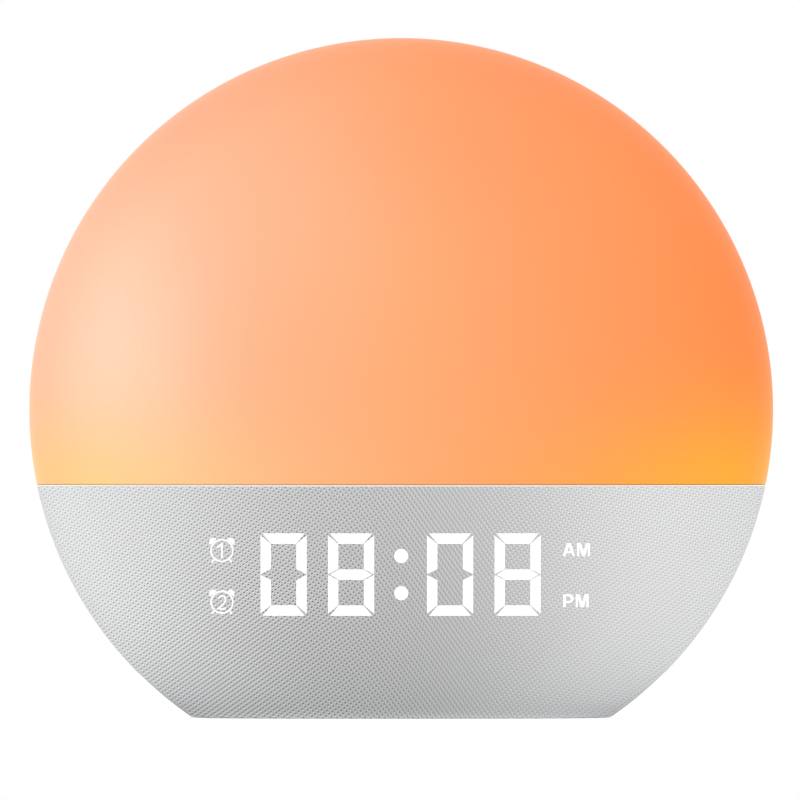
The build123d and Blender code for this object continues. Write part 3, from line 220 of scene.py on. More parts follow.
class DisplaySettings(bpy.types.PropertyGroup):
    digit_width: length("Digit width", "Width of one digit", 11.13)
    digit_height: length("Digit height", "Height of one digit", 19.86)
    stroke: length("Stroke", "Width of a segment", 2.5)
    outer_gap: length("Outer gap", "Gap of the mitres at the outer corners", 0.5)
    inner_gap: length("Inner gap", "Gap of the mitres at the inner corners", 0.1)
    dot: length("Dot", "Radius of the colon's dots", 1.7)
    proud: length("Proud", "How far the lit signs stand on the cloth", 0.05)
    sunk: length("Sunk", "How far the lit signs reach into the cloth", 0.2)
    light: colour("Light", "Colour of the lit digits", WHITE)
    dot_light: colour("Dot light", "Colour of the colon", srgb(254, 253, 247))
    ring: length("Ring", "Outer radius of the alarm signs", 2.8)
    line: length("Line", "Width of the alarm signs' lines", 0.36)
    letter: length("Letter", "Height of the letters", 3.12)


class CaseSettings(bpy.types.PropertyGroup):
    shell: colour("Shell", "Moulded shells", srgb(236, 236, 234))
    keys: colour("Keys", "Key caps, snooze bar and cell cover", srgb(219, 219, 217))
    print: colour("Print", "Signs printed on the keys", srgb(92, 94, 98))
    pad: colour("Pad", "Rubber pad under the base", srgb(196, 196, 195))
    grain: length("Grain", "Size of the moulded grain", 0.4)
    sign: length("Sign", "Height of the signs on the keys", 4.2)


class StudioSettings(bpy.types.PropertyGroup):
    floor: length("Floor", "Radius of the floor", 1400)
    distance: length("Camera distance", "From the camera to the clock", 8500)
    view: length("View width", "Width of the picture at the clock", 193.55)
    aim_x: length("Aim across", "Where the camera looks, across", -0.3)
    aim_z: length("Aim height", "Where the camera looks, above the floor", 76.9)
    key: power("Key lamp", 2.5)
    left: power("Left lamp", 4.6)
    right: power("Right lamp", 6.6)
    back: power("Back lamp", 2.0)
    air: share("Air", "Level of the even light from all round", 0.79)


class ClockSettings(bpy.types.PropertyGroup):
    dome: PointerProperty(type=DomeSettings)
    cloth: PointerProperty(type=ClothSettings)
    display: PointerProperty(type=DisplaySettings)
    case: PointerProperty(type=CaseSettings)
    studio: PointerProperty(type=StudioSettings)


# Materials


class Field:
    """A number that varies over a surface. Python's arithmetic on it adds Math nodes."""

    def __init__(self, nodes, socket):
        self.nodes = nodes
        self.socket = socket

    def __add__(self, other):
        return self.nodes.maths("ADD", self, other)

    __radd__ = __add__

    def __sub__(self, other):
        return self.nodes.maths("SUBTRACT", self, other)

    def __rsub__(self, other):
        return self.nodes.maths("SUBTRACT", other, self)

    def __mul__(self, other):
        return self.nodes.maths("MULTIPLY", self, other)

    __rmul__ = __mul__

    def __truediv__(self, other):
        return self.nodes.maths("DIVIDE", self, other)

    def __neg__(self):
        return self.nodes.maths("MULTIPLY", self, -1.0)

    def at_least(self, low):
        return self.nodes.maths("MAXIMUM", self, low)

    def at_most(self, high):
        return self.nodes.maths("MINIMUM", self, high)

    def limited(self):
        """The number, kept from 0 to 1."""
        return self.at_least(0.0).at_most(1.0)

    def cosine(self):
        return self.nodes.maths("COSINE", self)


class Nodes:
    """The node tree of a material or of the air, while it is being made."""

    def __init__(self, owner):
        owner.use_nodes = True
        self.tree = owner.node_tree
        self.tree.nodes.clear()

    def feed(self, socket, value):
        """Links or sets one socket."""
        if isinstance(value, Field):
            value = value.socket
        if isinstance(value, bpy.types.NodeSocket):
            self.tree.links.new(value, socket)
        elif socket.type == "RGBA" and len(value) == 3:
            socket.default_value = (*value, 1.0)
        else:
            socket.default_value = value

    def node(self, kind, settings=None, inputs=None):
        """Adds a node, sets it up, and feeds its sockets."""
        made = self.tree.nodes.new(kind)
        for key, value in (settings or {}).items():
            if key == "stops":
                self.set_stops(made.color_ramp, value)
            else:
                setattr(made, key, value)
        for key, value in (inputs or {}).items():
            self.feed(made.inputs[key], value)
        return made

    def set_stops(self, ramp, stops):
        """Gives a colour ramp its places and colours."""
        while len(ramp.elements) > 1:
            ramp.elements.remove(ramp.elements[-1])
        for index, (position, tone) in enumerate(stops):
            element = ramp.elements[0] if index == 0 else ramp.elements.new(position)
            element.position = position
            element.color = (*tone, 1.0)

    def maths(self, operation, *values):
        made = self.node("ShaderNodeMath", {"operation": operation}, dict(enumerate(values)))
        return Field(self, made.outputs[0])

    def distance(self, across, up):
        return self.maths("SQRT", across * across + up * up)

    def backdrop_seen(self):
        """1 where the backdrop is seen, mirrored or looked through to, and 0 for its light."""
        rays = self.node("ShaderNodeLightPath")
        return sum(Field(self, rays.outputs[name]) for name in BACKDROP_RAYS).at_most(1.0)


class Finish(Nodes):
    """A material while it is being made."""

    def __init__(self, name, **constants):
        self.material = bpy.data.materials.new(name)
        super().__init__(self.material)
        self.shader = self.node("ShaderNodeBsdfPrincipled")
        self.node("ShaderNodeOutputMaterial", None, {"Surface": self.shader.outputs["BSDF"]})
        self.surface(**constants)

    def place(self):
        """Where a point is on the clock, as three numbers in metres."""
        texture = self.node("ShaderNodeTexCoord")
        parts = self.node("ShaderNodeSeparateXYZ", None, {0: texture.outputs["Object"]})
        return [Field(self, parts.outputs[axis]) for axis in "XYZ"]

    def noise(self, size, detail=2.0, rough=0.5, stretch=(1.0, 1.0, 1.0), over=None):
        """Cloudy variation about 0.5, with lumps of about the given size."""
        if over is None:
            start = self.node("ShaderNodeTexCoord").outputs["Object"]
        else:
            start = self.node("ShaderNodeCombineXYZ", None, dict(enumerate(over))).outputs[0]
        scaled = self.node("ShaderNodeMapping", None, {"Vector": start, "Scale": stretch})
        inputs = {
            "Vector": scaled.outputs[0], "Scale": 1.0 / size, "Detail": detail, "Roughness": rough
        }
        return Field(self, self.node("ShaderNodeTexNoise", None, inputs).outputs["Fac"])

    def mix(self, factor, first, second):
        """One colour or another, by a number from 0 to 1."""
        settings = {"data_type": "RGBA", "clamp_factor": True}
        made = self.node("ShaderNodeMix", settings, {0: factor, 6: first, 7: second})
        return made.outputs[2]

    def shade(self, tone, level):
        """A colour made lighter or darker by a number about 1."""
        grey = self.node("ShaderNodeCombineXYZ", None, {0: level, 1: level, 2: level})
        inputs = {0: tone, 1: grey.outputs[0]}
        return self.node("ShaderNodeVectorMath", {"operation": "MULTIPLY"}, inputs).outputs[0]

    def emboss(self, height, depth):
        """Raises the surface by a height from 0 to 1 times a depth in metres."""
        inputs = {"Height": height, "Distance": depth, "Strength": 1.0}
        self.surface(Normal=self.node("ShaderNodeBump", None, inputs).outputs[0])

    def surface(self, **values):
        """Sets or links the shader's sockets, and gives the material."""
        for key, value in values.items():
            self.feed(self.shader.inputs[key.replace("_", " ")], value)
        return self.material


def patch(finish, across, up, shape):
    """A soft round patch: its strength at its middle, falling to nothing past its reach."""
    middle, reach, strength = shape
    wide = (across - middle[0]) * (1 / reach[0])
    tall = (up - middle[1]) * (1 / reach[1])
    return finish.maths("EXPONENT", -(wide * wide + tall * tall)) * strength


def rings_about(finish, middle, pitch):
    """Rings about a point of the clock's front view, from 0 to 1."""
    x, _, z = finish.place()
    reach = finish.distance(x - middle[0], z - middle[1])
    return (reach * (2 * math.pi / pitch)).cosine() * 0.5 + 0.5


def dome_finish(dome):
    """Frosted shell lit from inside: peach at the left, orange at the right, amber low down.
    It has a painted highlight at the left and painted shade toward the outline.
    """
    finish = Finish(
        "dome_frosted_glow", Roughness=0.42, IOR=1.46, Specular_IOR_Level=0.12,
        Emission_Strength=dome.glow,
    )
    x, _, z = finish.place()
    across = x * (1 / OUTLINE_R)
    up = (z - CENTRE_Z) * (1 / OUTLINE_R)
    stops = [
        (0.02, dome.far_left), (0.22, dome.left), (0.5, dome.middle),
        (0.8, dome.right), (0.98, dome.far_right),
    ]
    tilted = (across - up * 0.04) * 0.5 + 0.5
    ramp = finish.node("ShaderNodeValToRGB", {"stops": stops}, {0: tilted})
    tone = ramp.outputs[0]
    # Painted highlight: the key softbox mirrored at the left, painted into the glow, with a faint
    # spread
    painted_light = patch(finish, across, up, DOME_PAINTED_HIGHLIGHT)
    tone = finish.mix(painted_light * 0.76 + patch(finish, across, up, DOME_HIGHLIGHT_SPREAD), tone, dome.painted_highlight)
    tone = finish.mix(patch(finish, across, up, DOME_STRAW), tone, dome.straw)
    tone = finish.mix(patch(finish, across, up, DOME_AMBER), tone, dome.amber)
    # Painted shade deepens the glow toward the outline; the crown patch deepens it at the top
    outer = ((finish.distance(across, up) - 0.8) * 5.0).at_least(0.0)
    crown = patch(finish, across, up, DOME_CROWN)
    tone = finish.mix(outer * outer * 0.2 + crown, tone, dome.rim)
    # The grain's speckle is painted strongest in the painted highlight
    speckle = (finish.noise(0.5 * MM, detail=1.0) - 0.5) * (painted_light * 0.12 + 0.01) + 1.0
    # The lip under the edge lies in shadow.
    under = ((dome_low.z - z) * (1 / dome.lip)).limited()
    tone = finish.shade(tone, speckle * (1.0 - under * 0.62))
    finish.emboss(finish.noise(dome.grain, rough=0.6), dome.grain_depth)
    return finish.surface(Emission_Color=tone, Base_Color=finish.shade(tone, dome.body))


def cloth_finish(cloth):
    """Plain weave of round threads, turned on the bias, with dark gaps where they cross, and
    painted light and shade.
    """
    finish = Finish("speaker_cloth_weave", Roughness=0.82, IOR=1.4, Specular_IOR_Level=0.25)
    x, y, z = finish.place()
    up = z - CENTRE_Z
    reach = finish.distance(x, up).at_least(MM)
    # Past the shoulder's steep part the pattern follows the surface, not its front view.
    steep = math.radians(78.0)
    steep_r = KNUCKLE + SHOULDER_R * math.sin(steep)
    outer = reach.at_least(TANGENT_R)
    slope = finish.maths("ARCTAN2", outer - KNUCKLE, -y)
    extra = ((slope - steep) * SHOULDER_R - outer + steep_r).at_least(0.0)
    spread = (reach + extra) / reach
    flat_x, flat_z = x * spread, up * spread
    sine, cosine = math.sin(cloth.turn), math.cos(cloth.turn)
    along = flat_x * cosine + flat_z * sine
    aside = flat_x * sine - flat_z * cosine
    wave = 2 * math.pi / cloth.pitch
    one = aside * wave + math.radians(95.0)
    two = along * wave + math.radians(43.0)
    across, high = x * (1 / OUTLINE_R), up * (1 / OUTLINE_R)
    # Painted shade of the threads' relief: lit from the left at the left and from the right at the
    # right
    left = ((0.12 - across) * 4.0).limited()
    right = ((across - 0.08) * 4.5).limited()
    far_left = ((0.25 - across) * 2.5).limited()
    relief_shade = patch(finish, across, high, CLOTH_RELIEF_SHADE)
    centre = patch(finish, across, high, CLOTH_MIDDLE_RELIEF_SHADE)
    # The threads, their phase in degrees, and how strongly they show. How strongly is painted shade
    # on
    # the relief: the rising threads deepen low at the left, the steep ones stand out in the middle,
    # and both are faint at the right.
    ripples = (
        (one, 5, left * 0.085 + relief_shade * 0.22),
        (one, -85, right * 0.08),
        (one * 2, 160, left * 0.1 + relief_shade * 0.22),
        (one * 2, 20, right * 0.1),
        (two, -8, centre),
        (two, 40, relief_shade * 0.05 + 0.04),
        (one + two, -135, relief_shade * 0.17 + 0.08),
        (one - two, 122, far_left * 0.08 + relief_shade * 0.18),
        (one - two, 5, right * 0.1),
    )
    weave = sum((turn + math.radians(phase)).cosine() * part for turn, phase, part in ripples)
    fibre = finish.noise(cloth.pitch * 0.34, rough=0.6, over=(aside, along * 0.6))
    # Painted light: paler toward both sides, where the side lamps fall, and toward the top
    painted_light = patch(finish, across, high, CLOTH_PAINTED_LIGHT_LEFT) + high * 0.13 + 0.81
    painted_light = painted_light + patch(finish, across, high, CLOTH_PAINTED_LIGHT_RIGHT)
    # Painted light: the cloth is paler in its last millimetre above the floor, lifting the shade
    # there
    hem = finish.maths("EXPONENT", z * (-1 / (0.6 * MM))) * 0.62
    level = (weave + 1.0).at_least(0.06) * (fibre * 0.24 + 0.88) * painted_light * (hem + 1.0)
    finish.emboss(weave, cloth.relief)
    return finish.surface(Base_Color=finish.shade(cloth.thread, level))


def lit_finish(name, tone):
    """Light that comes through the cloth, even to its edges."""
    finish = Finish(name, Roughness=0.7, Emission_Strength=1.0)
    speck = finish.noise(0.5 * MM)
    level = finish.shade(tone, 1.02 + speck * 0.02)
    return finish.surface(Base_Color=finish.shade(tone, speck * 0.1), Emission_Color=level)


def moulded_plastic(name, tone, grain, roughness=0.5, depth=0.01 * MM):
    """Spark-textured moulded plastic, with the faint clouding of the melt."""
    finish = Finish(name, IOR=1.5)
    cloud = finish.noise(22 * MM, detail=3.0)
    texture = finish.noise(grain, rough=0.65)
    level = 0.975 + cloud * 0.05 - (1.0 - texture) * 0.02
    finish.emboss(texture, depth)
    return finish.surface(
        Base_Color=finish.shade(tone, level), Roughness=roughness - 0.06 + texture * 0.12
    )


def studded_rubber(name, tone, pitch):
    """Matt rubber with a close grid of round studs."""
    finish = Finish(name, IOR=1.45)
    x, y, _ = finish.place()
    wave = 2 * math.pi / pitch
    grid = (x * wave).cosine() * (y * wave).cosine()
    dust = finish.noise(0.6 * MM, detail=3.0)
    stud = (grid * 3.0).limited()
    finish.emboss(stud + dust * 0.2, 0.12 * MM)
    level = 0.9 + stud * 0.08 + (dust - 0.5) * 0.1
    return finish.surface(Base_Color=finish.shade(tone, level), Roughness=0.72 + dust * 0.16)


def soft_foam(name, tone):
    """Matt foam with small open cells."""
    finish = Finish(name, IOR=1.4)
    cells = finish.noise(0.7 * MM, detail=4.0, rough=0.7)
    finish.emboss(cells, 0.15 * MM)
    return finish.surface(Base_Color=finish.shade(tone, 0.7 + cells * 0.6), Roughness=0.95)


def plated_steel(name, tone, roughness, stretch=(1.0, 1.0, 1.0)):
    """Bright plated metal with fine drawn lines."""
    finish = Finish(name, Metallic=1.0)
    lines = finish.noise(0.25 * MM, detail=3.0, rough=0.6, stretch=stretch)
    finish.emboss(lines, 0.004 * MM)
    level = 0.92 + lines * 0.16
    return finish.surface(
        Base_Color=finish.shade(tone, level), Roughness=roughness - 0.08 + lines * 0.16
    )


def turned_steel(name, tone, middle):
    """Pressed steel with rings about its own middle."""
    finish = Finish(name, Metallic=1.0)
    rings = rings_about(finish, middle, 0.35 * MM)
    scratch = finish.noise(0.3 * MM, detail=3.0)
    finish.emboss(rings * 0.5 + scratch * 0.5, 0.004 * MM)
    return finish.surface(
        Base_Color=finish.shade(tone, 0.94 + rings * 0.08), Roughness=0.24 + scratch * 0.16
    )


def solder_mask(name, mask, track):
    """A board's lacquer, with the tracks raised under it."""
    finish = Finish(name, IOR=1.5, Coat_Roughness=0.2)
    x, _, z = finish.place()
    front_view = finish.node("ShaderNodeCombineXYZ", None, {0: x, 1: z}).outputs[0]
    bricks = finish.node(
        "ShaderNodeTexBrick",
        {"offset": 0.37, "squash": 1.6},
        {
            "Vector": front_view, "Scale": 1.0, "Mortar Size": 0.22 * MM,
            "Mortar Smooth": 0.1, "Brick Width": 7 * MM, "Row Height": 1.3 * MM,
        },
    )
    lines = Field(finish, bricks.outputs["Fac"])
    grit = finish.noise(0.3 * MM)
    tone = finish.mix(lines * 0.6, mask, track)
    finish.emboss(lines + grit * 0.1, 0.03 * MM)
    return finish.surface(
        Base_Color=tone, Roughness=0.3 + grit * 0.14, Coat_Weight=0.3 - grit * 0.1
    )


def milky_lens(name, tone):
    """Cloudy clear plastic that spreads the light of the lamp behind it."""
    finish = Finish(name, IOR=1.49, Transmission_Weight=0.35, Emission_Strength=0.4)
    haze = finish.noise(1.5 * MM)
    level = finish.shade(tone, 0.9 + haze * 0.15)
    return finish.surface(Base_Color=level, Emission_Color=level, Roughness=0.35 + haze * 0.1)


def phosphor(name, tone):
    """The yellow cover of a white lamp chip."""
    finish = Finish(name, IOR=1.5)
    speck = finish.noise(0.25 * MM, detail=3.0)
    finish.emboss(speck, 0.02 * MM)
    level = 0.85 + speck * 0.25
    return finish.surface(Base_Color=finish.shade(tone, level), Roughness=0.3 + speck * 0.2)


def pressed_paper(name, tone, middle):
    """Speaker paper with fibres and faint rings."""
    finish = Finish(name, IOR=1.4)
    rings = rings_about(finish, middle, 1.6 * MM)
    fibre = finish.noise(0.5 * MM, detail=4.0, rough=0.7)
    finish.emboss(rings * 0.4 + fibre * 0.6, 0.08 * MM)
    return finish.surface(
        Base_Color=finish.shade(tone, 0.7 + fibre * 0.5 + rings * 0.1), Roughness=0.85 + fibre * 0.1
    )


def finish_nodes(finishes):
    """Gives each part of the frame the finish of its slot."""
    for part in frame["record"]["subparts"]:
        if part["material_slot"] in finishes:
            for place in frame["nodes"][part["node"]].material_slots:
                place.material = finishes[part["material_slot"]]


# Forms


def face_y(reach, inset=0.0):
    """How far forward the front lies, at a distance from the middle of the outline."""
    if reach <= (CROWN_R - inset) * math.sin(LEAN):
        return CROWN_Y - math.sqrt((CROWN_R - inset) ** 2 - reach**2)
    rise = min(reach - KNUCKLE, SHOULDER_R - inset)
    return -math.sqrt((SHOULDER_R - inset) ** 2 - rise**2)


def front_profile(inset, crown_steps=30, shoulder_steps=22, band_steps=3):
    """(radius, Y) points of the front from its middle to the parting line."""
    points = []
    for index in range(crown_steps):
        angle = LEAN * index / crown_steps
        reach = (CROWN_R - inset) * math.sin(angle)
        points.append((reach, CROWN_Y - (CROWN_R - inset) * math.cos(angle)))
    for index in range(shoulder_steps + 1):
        angle = LEAN + (math.pi / 2 - LEAN) * index / shoulder_steps
        out = SHOULDER_R - inset
        points.append((KNUCKLE + out * math.sin(angle), -out * math.cos(angle)))
    band = [BAND * step / band_steps for step in range(1, band_steps + 1)]
    return points + [(OUTLINE_R - inset, y) for y in band]


def turn_profile(form, points, start, end, steps):
    """Sweeps a closed (radius, Y) outline about the body's axis, from one angle to another."""
    whole = math.isclose(end - start, 2 * math.pi)
    rings = []
    for index in range(steps if whole else steps + 1):
        angle = start + (end - start) * index / steps
        across, up = math.cos(angle), math.sin(angle)
        rings.append([form.verts.new((r * across, y, CENTRE_Z + r * up)) for r, y in points])
    pairs = list(zip(rings, rings[1:])) + ([(rings[-1], rings[0])] if whole else [])
    count = len(points)
    for near, far in pairs:
        for index in range(count):
            after = (index + 1) % count
            form.faces.new((near[index], near[after], far[after], far[index]))
    if not whole:
        form.faces.new(rings[0])
        form.faces.new(rings[-1])


def make_object(name, form, material):
    """A mesh with its material, put into the scene."""
    mesh = bpy.data.meshes.new(name)
    form.to_mesh(mesh)
    form.free()
    mesh.materials.append(material)
    thing = bpy.data.objects.new(name, mesh)
    bpy.context.scene.collection.objects.link(thing)
    return thing


def make_piece(name, form, material, body, sharp=40.0):
    """A finished mesh, riding on a body of the clock."""
    bmesh.ops.recalc_face_normals(form, faces=form.faces)
    piece = make_object(name, form, material)
    piece.data.polygons.foreach_set("use_smooth", [True] * len(piece.data.polygons))
    piece.data.set_sharp_from_angle(angle=math.radians(sharp))
    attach(piece, body)
    return piece


def build_dome(dome):
    """The frosted shell with its tongue and clips, cut off level above the cloth."""
    form = bmesh.new()
    rim = [(TONGUE_HIGH_R, BAND), (TONGUE_HIGH_R, TONGUE_END), (TONGUE_LOW_R, TONGUE_END)]
    outline = front_profile(0.0) + rim + front_profile(dome.wall)[::-1]
    turn_profile(form, outline, 0.0, 2 * math.pi, DOME_STEPS)
    bmesh.ops.remove_doubles(form, verts=form.verts, dist=MERGE)
    everything = form.verts[:] + form.edges[:] + form.faces[:]
    cut = bmesh.ops.bisect_plane(
        form, geom=everything, plane_co=(0, 0, dome_low.z), plane_no=(0, 0, -1), clear_outer=True
    )
    loop = [part for part in cut["geom_cut"] if isinstance(part, bmesh.types.BMEdge)]
    filled = bmesh.ops.holes_fill(form, edges=loop)
    if len(filled["faces"]) != 1:
        raise RuntimeError("the dome's lower edge didn't close")
    bmesh.ops.recalc_face_normals(form, faces=form.faces)
    lower = list(filled["faces"][0].edges)
    # The lip: set back from the edge, and drawn down from it
    bmesh.ops.inset_region(form, faces=filled["faces"], thickness=dome.lip_set)
    core = bmesh.ops.extrude_face_region(form, geom=filled["faces"])
    moved = [part for part in core["geom"] if isinstance(part, bmesh.types.BMVert)]
    bmesh.ops.translate(form, verts=moved, vec=(0.0, 0.0, -dome.lip))
    bmesh.ops.delete(form, geom=filled["faces"], context="FACES_ONLY")
    bmesh.ops.bevel(
        form, geom=lower, offset=dome.edge, segments=3, profile=0.5, affect="EDGES",
        clamp_overlap=False,
    )
    finger = [
        (CLIP_R - CLIP_THICK, CLIP_START), (TONGUE_LOW_R, CLIP_START), (TONGUE_LOW_R, BAND),
        (CLIP_R, BAND), (CLIP_R, CLIP_HOOK_START), (CLIP_R + CLIP_HOOK, CLIP_HOOK_START),
        (CLIP_R, CLIP_END), (CLIP_R - CLIP_THICK, CLIP_END),
    ]
    half = CLIP_HALF_WIDTH / CLIP_R
    for angle in CLIP_ANGLES:
        middle = math.radians(angle)
        turn_profile(form, finger, middle - half, middle + half, 4)
    return form


def cloth_slice(height, inset, columns, fine=400, band_steps=12):
    """(X, Y) points along the cloth at one height, evenly spaced from left to right."""
    up = height - CENTRE_Z
    side = math.sqrt((OUTLINE_R - inset) ** 2 - up**2)
    half = []
    for index in range(fine + 1):
        across = side * math.sin(math.pi / 2 * index / fine)
        half.append((across, face_y(math.hypot(across, up), inset)))
    half += [(side, BAND * step / band_steps) for step in range(1, band_steps + 1)]
    run = [0.0]
    for (x0, y0), (x1, y1) in zip(half, half[1:]):
        run.append(run[-1] + math.hypot(x1 - x0, y1 - y0))
    points, index = [], 0
    for step in range(columns // 2 + 1):
        target = run[-1] * step / (columns // 2)
        while index < len(run) - 2 and run[index + 1] < target:
            index += 1
        part = (target - run[index]) / (run[index + 1] - run[index])
        (x0, y0), (x1, y1) = half[index], half[index + 1]
        points.append((x0 + (x1 - x0) * part, y0 + (y1 - y0) * part))
    return [(-x, y) for x, y in points[:0:-1]] + points, 2 * run[-1]


def build_cloth(cloth):
    """The cloth stretched over the lower front, and its size when laid flat."""
    low, high = cloth_low.z, cloth_high.z
    rise = (high - low - 2 * cloth.edge) / cloth.rows
    levels = [low + cloth.edge + rise * row for row in range(cloth.rows + 1)]
    rows = [(low, cloth.thick), (low, cloth.edge)]
    rows += [(level, 0.0) for level in levels]
    rows += [(high, cloth.edge), (high, cloth.thick)]
    rows += [(level, cloth.thick) for level in levels[::-1]]
    form = bmesh.new()
    strips, widest = [], 0.0
    for height, inset in rows:
        points, run = cloth_slice(height, inset, cloth.columns)
        widest = max(widest, run)
        strips.append([form.verts.new((x, y, height)) for x, y in points])
    # The hem hangs past the front panel, and comes back up to its corners.
    for strip in strips[:2]:
        for vert in strip:
            vert.co.z -= cloth.hem * max(0.0, 1 - (vert.co.x / strip[-1].co.x) ** 12)
    for index, lower in enumerate(strips):
        upper = strips[(index + 1) % len(strips)]
        for column in range(cloth.columns):
            form.faces.new((lower[column], lower[column + 1], upper[column + 1], upper[column]))
    # Close both ends, between the outside and the inside of the cloth.
    for end in (0, cloth.columns):
        outer = [strips[index][end] for index in range(1, cloth.rows + 4)]
        inner = [strips[0][end]] + [strips[-1 - index][end] for index in range(cloth.rows + 2)]
        for step in range(len(outer) - 1):
            form.faces.new((outer[step], outer[step + 1], inner[step + 1], inner[step]))
    outside = strips[2:cloth.rows + 3]
    pairs = list(zip(outside, outside[1:]))
    tall = max(
        sum((upper[column].co - lower[column].co).length for lower, upper in pairs)
        for column in range(cloth.columns + 1)
    )
    form.faces.ensure_lookup_table()
    fronts = form.faces[2 * cloth.columns:(cloth.rows + 2) * cloth.columns]
    area = sum(face.calc_area() for face in fronts)
    return form, widest, tall, area


# Flat signs, drawn as closed loops of (across, up) in millimetres


def circle(middle, radius, steps=56, start=0.0, sweep=360.0):
    """Points of a circle, or of an arc from its start over its sweep, in degrees."""
    whole = sweep >= 360.0
    count = steps if whole else steps + 1
    turns = [math.radians(start + sweep * index / steps) for index in range(count)]
    return [(middle[0] + radius * math.cos(t), middle[1] + radius * math.sin(t)) for t in turns]


def line(points, width, sharpest=0.35):
    """The outline of a bent line of even width, with square ends."""
    left, right = [], []
    for index, (x, z) in enumerate(points):
        before = points[max(index - 1, 0)]
        after = points[min(index + 1, len(points) - 1)]
        first = Vector((x - before[0], z - before[1]))
        second = Vector((after[0] - x, after[1] - z))
        first = first.normalized() if first.length else second.normalized()
        second = second.normalized() if second.length else first
        middle = (first + second).normalized()
        side = Vector((-middle.y, middle.x)) * (width / 2 / max(middle.dot(first), sharpest))
        left.append((x + side.x, z + side.y))
        right.append((x - side.x, z - side.y))
    return left + right[::-1]


def shift(loop, across, up):
    return [(x + across, z + up) for x, z in loop]


def scale(loop, wide, tall):
    return [(x * wide, z * tall) for x, z in loop]


def digit_loops(display, digit):
    """The lit segments of a seven-segment digit about its middle, one loop each."""
    right, top = display.digit_width / 2 / MM, display.digit_height / 2 / MM
    stroke, outer, inner = display.stroke / MM, display.outer_gap / MM, display.inner_gap / MM
    inside = right - stroke
    bar = [(outer - right, top), (right - outer, top), (inside - inner, top - stroke),
           (inner - inside, top - stroke)]
    side = [(right, top - outer), (inside, top - stroke - inner), (inside, stroke / 2 + inner),
            (right, inner)]
    middle = [(outer - right, 0.0), (inner - inside, stroke / 2), (inside - inner, stroke / 2),
              (right - outer, 0.0), (inside - inner, -stroke / 2), (inner - inside, -stroke / 2)]
    loops = [bar, scale(bar, 1, -1)]
    loops += [scale(side, a, b) for a in (-1, 1) for b in (-1, 1)]
    if digit == "8":
        loops.append(middle)
    return loops


# Each letter's width and outlines, at a height of 1
LETTER_GAP = 0.15
LETTERS = {
    "A": (0.96, [
        [(0.0, 0.0), (0.19, 0.0), (0.28, 0.235), (0.68, 0.235), (0.77, 0.0), (0.96, 0.0),
         (0.63, 1.0), (0.33, 1.0)],
        [(0.36, 0.40), (0.48, 0.76), (0.60, 0.40)],
    ]),
    "M": (1.0, [
        [(0.0, 0.0), (0.17, 0.0), (0.17, 0.68), (0.39, 0.0), (0.61, 0.0), (0.83, 0.68),
         (0.83, 0.0), (1.0, 0.0), (1.0, 1.0), (0.70, 1.0), (0.5, 0.42), (0.30, 1.0),
         (0.0, 1.0)],
    ]),
    "P": (0.82, [
        [(0.0, 0.0), (0.2, 0.0), (0.2, 0.33), (0.46, 0.33)]
        + circle((0.48, 0.665), 0.335, 14, -90.0, 180.0) + [(0.46, 1.0), (0.0, 1.0)],
        [(0.2, 0.49), (0.2, 0.84)] + circle((0.42, 0.665), 0.175, 12, 90.0, -180.0),
    ]),
}


def word_loops(word, height):
    """Bold letters on a line, from the lower left."""
    loops, across = [], 0.0
    for letter in word:
        width, outline = LETTERS[letter]
        loops.append([shift(scale(loop, height, height), across, 0.0) for loop in outline])
        across += (width + LETTER_GAP) * height
    return loops


NUMBER_TWO = circle((0.02, 0.66), 0.86, 14, 165.0, -205.0) + [
    (0.30, -0.42), (-0.30, -1.04), (-0.86, -1.60), (0.88, -1.60)
]


def bell_loops(radius, stroke, number):
    """An alarm clock seen from the front: ring, two bells, two feet and a number."""
    groups = [[circle((0, 0), radius), circle((0, 0), radius - stroke)]]
    for side in (-1, 1):
        turn = math.radians(-45 * side)
        sine, cosine = math.sin(turn), math.cos(turn)
        bell = shift(circle((0, 0), BELL_R, 16, 0.0, 180.0), 0.0, radius + BELL_GAP)
        groups.append([[(x * cosine - z * sine, x * sine + z * cosine) for x, z in bell]])
        foot = [(side * radius * 0.66, -radius * 0.76), (side * radius * 0.86, -radius * 1.02)]
        groups.append([line(foot, stroke)])
    if number == "1":
        half = stroke * 0.56
        flag = [(half, -1.77), (half, 1.76), (-0.1, 1.76), (-1.26, 0.84), (-1.1, 0.5),
                (-half, 1.14), (-half, -1.77)]
        groups.append([flag])
    else:
        groups.append([line(NUMBER_TWO, stroke * 0.95)])
    return groups


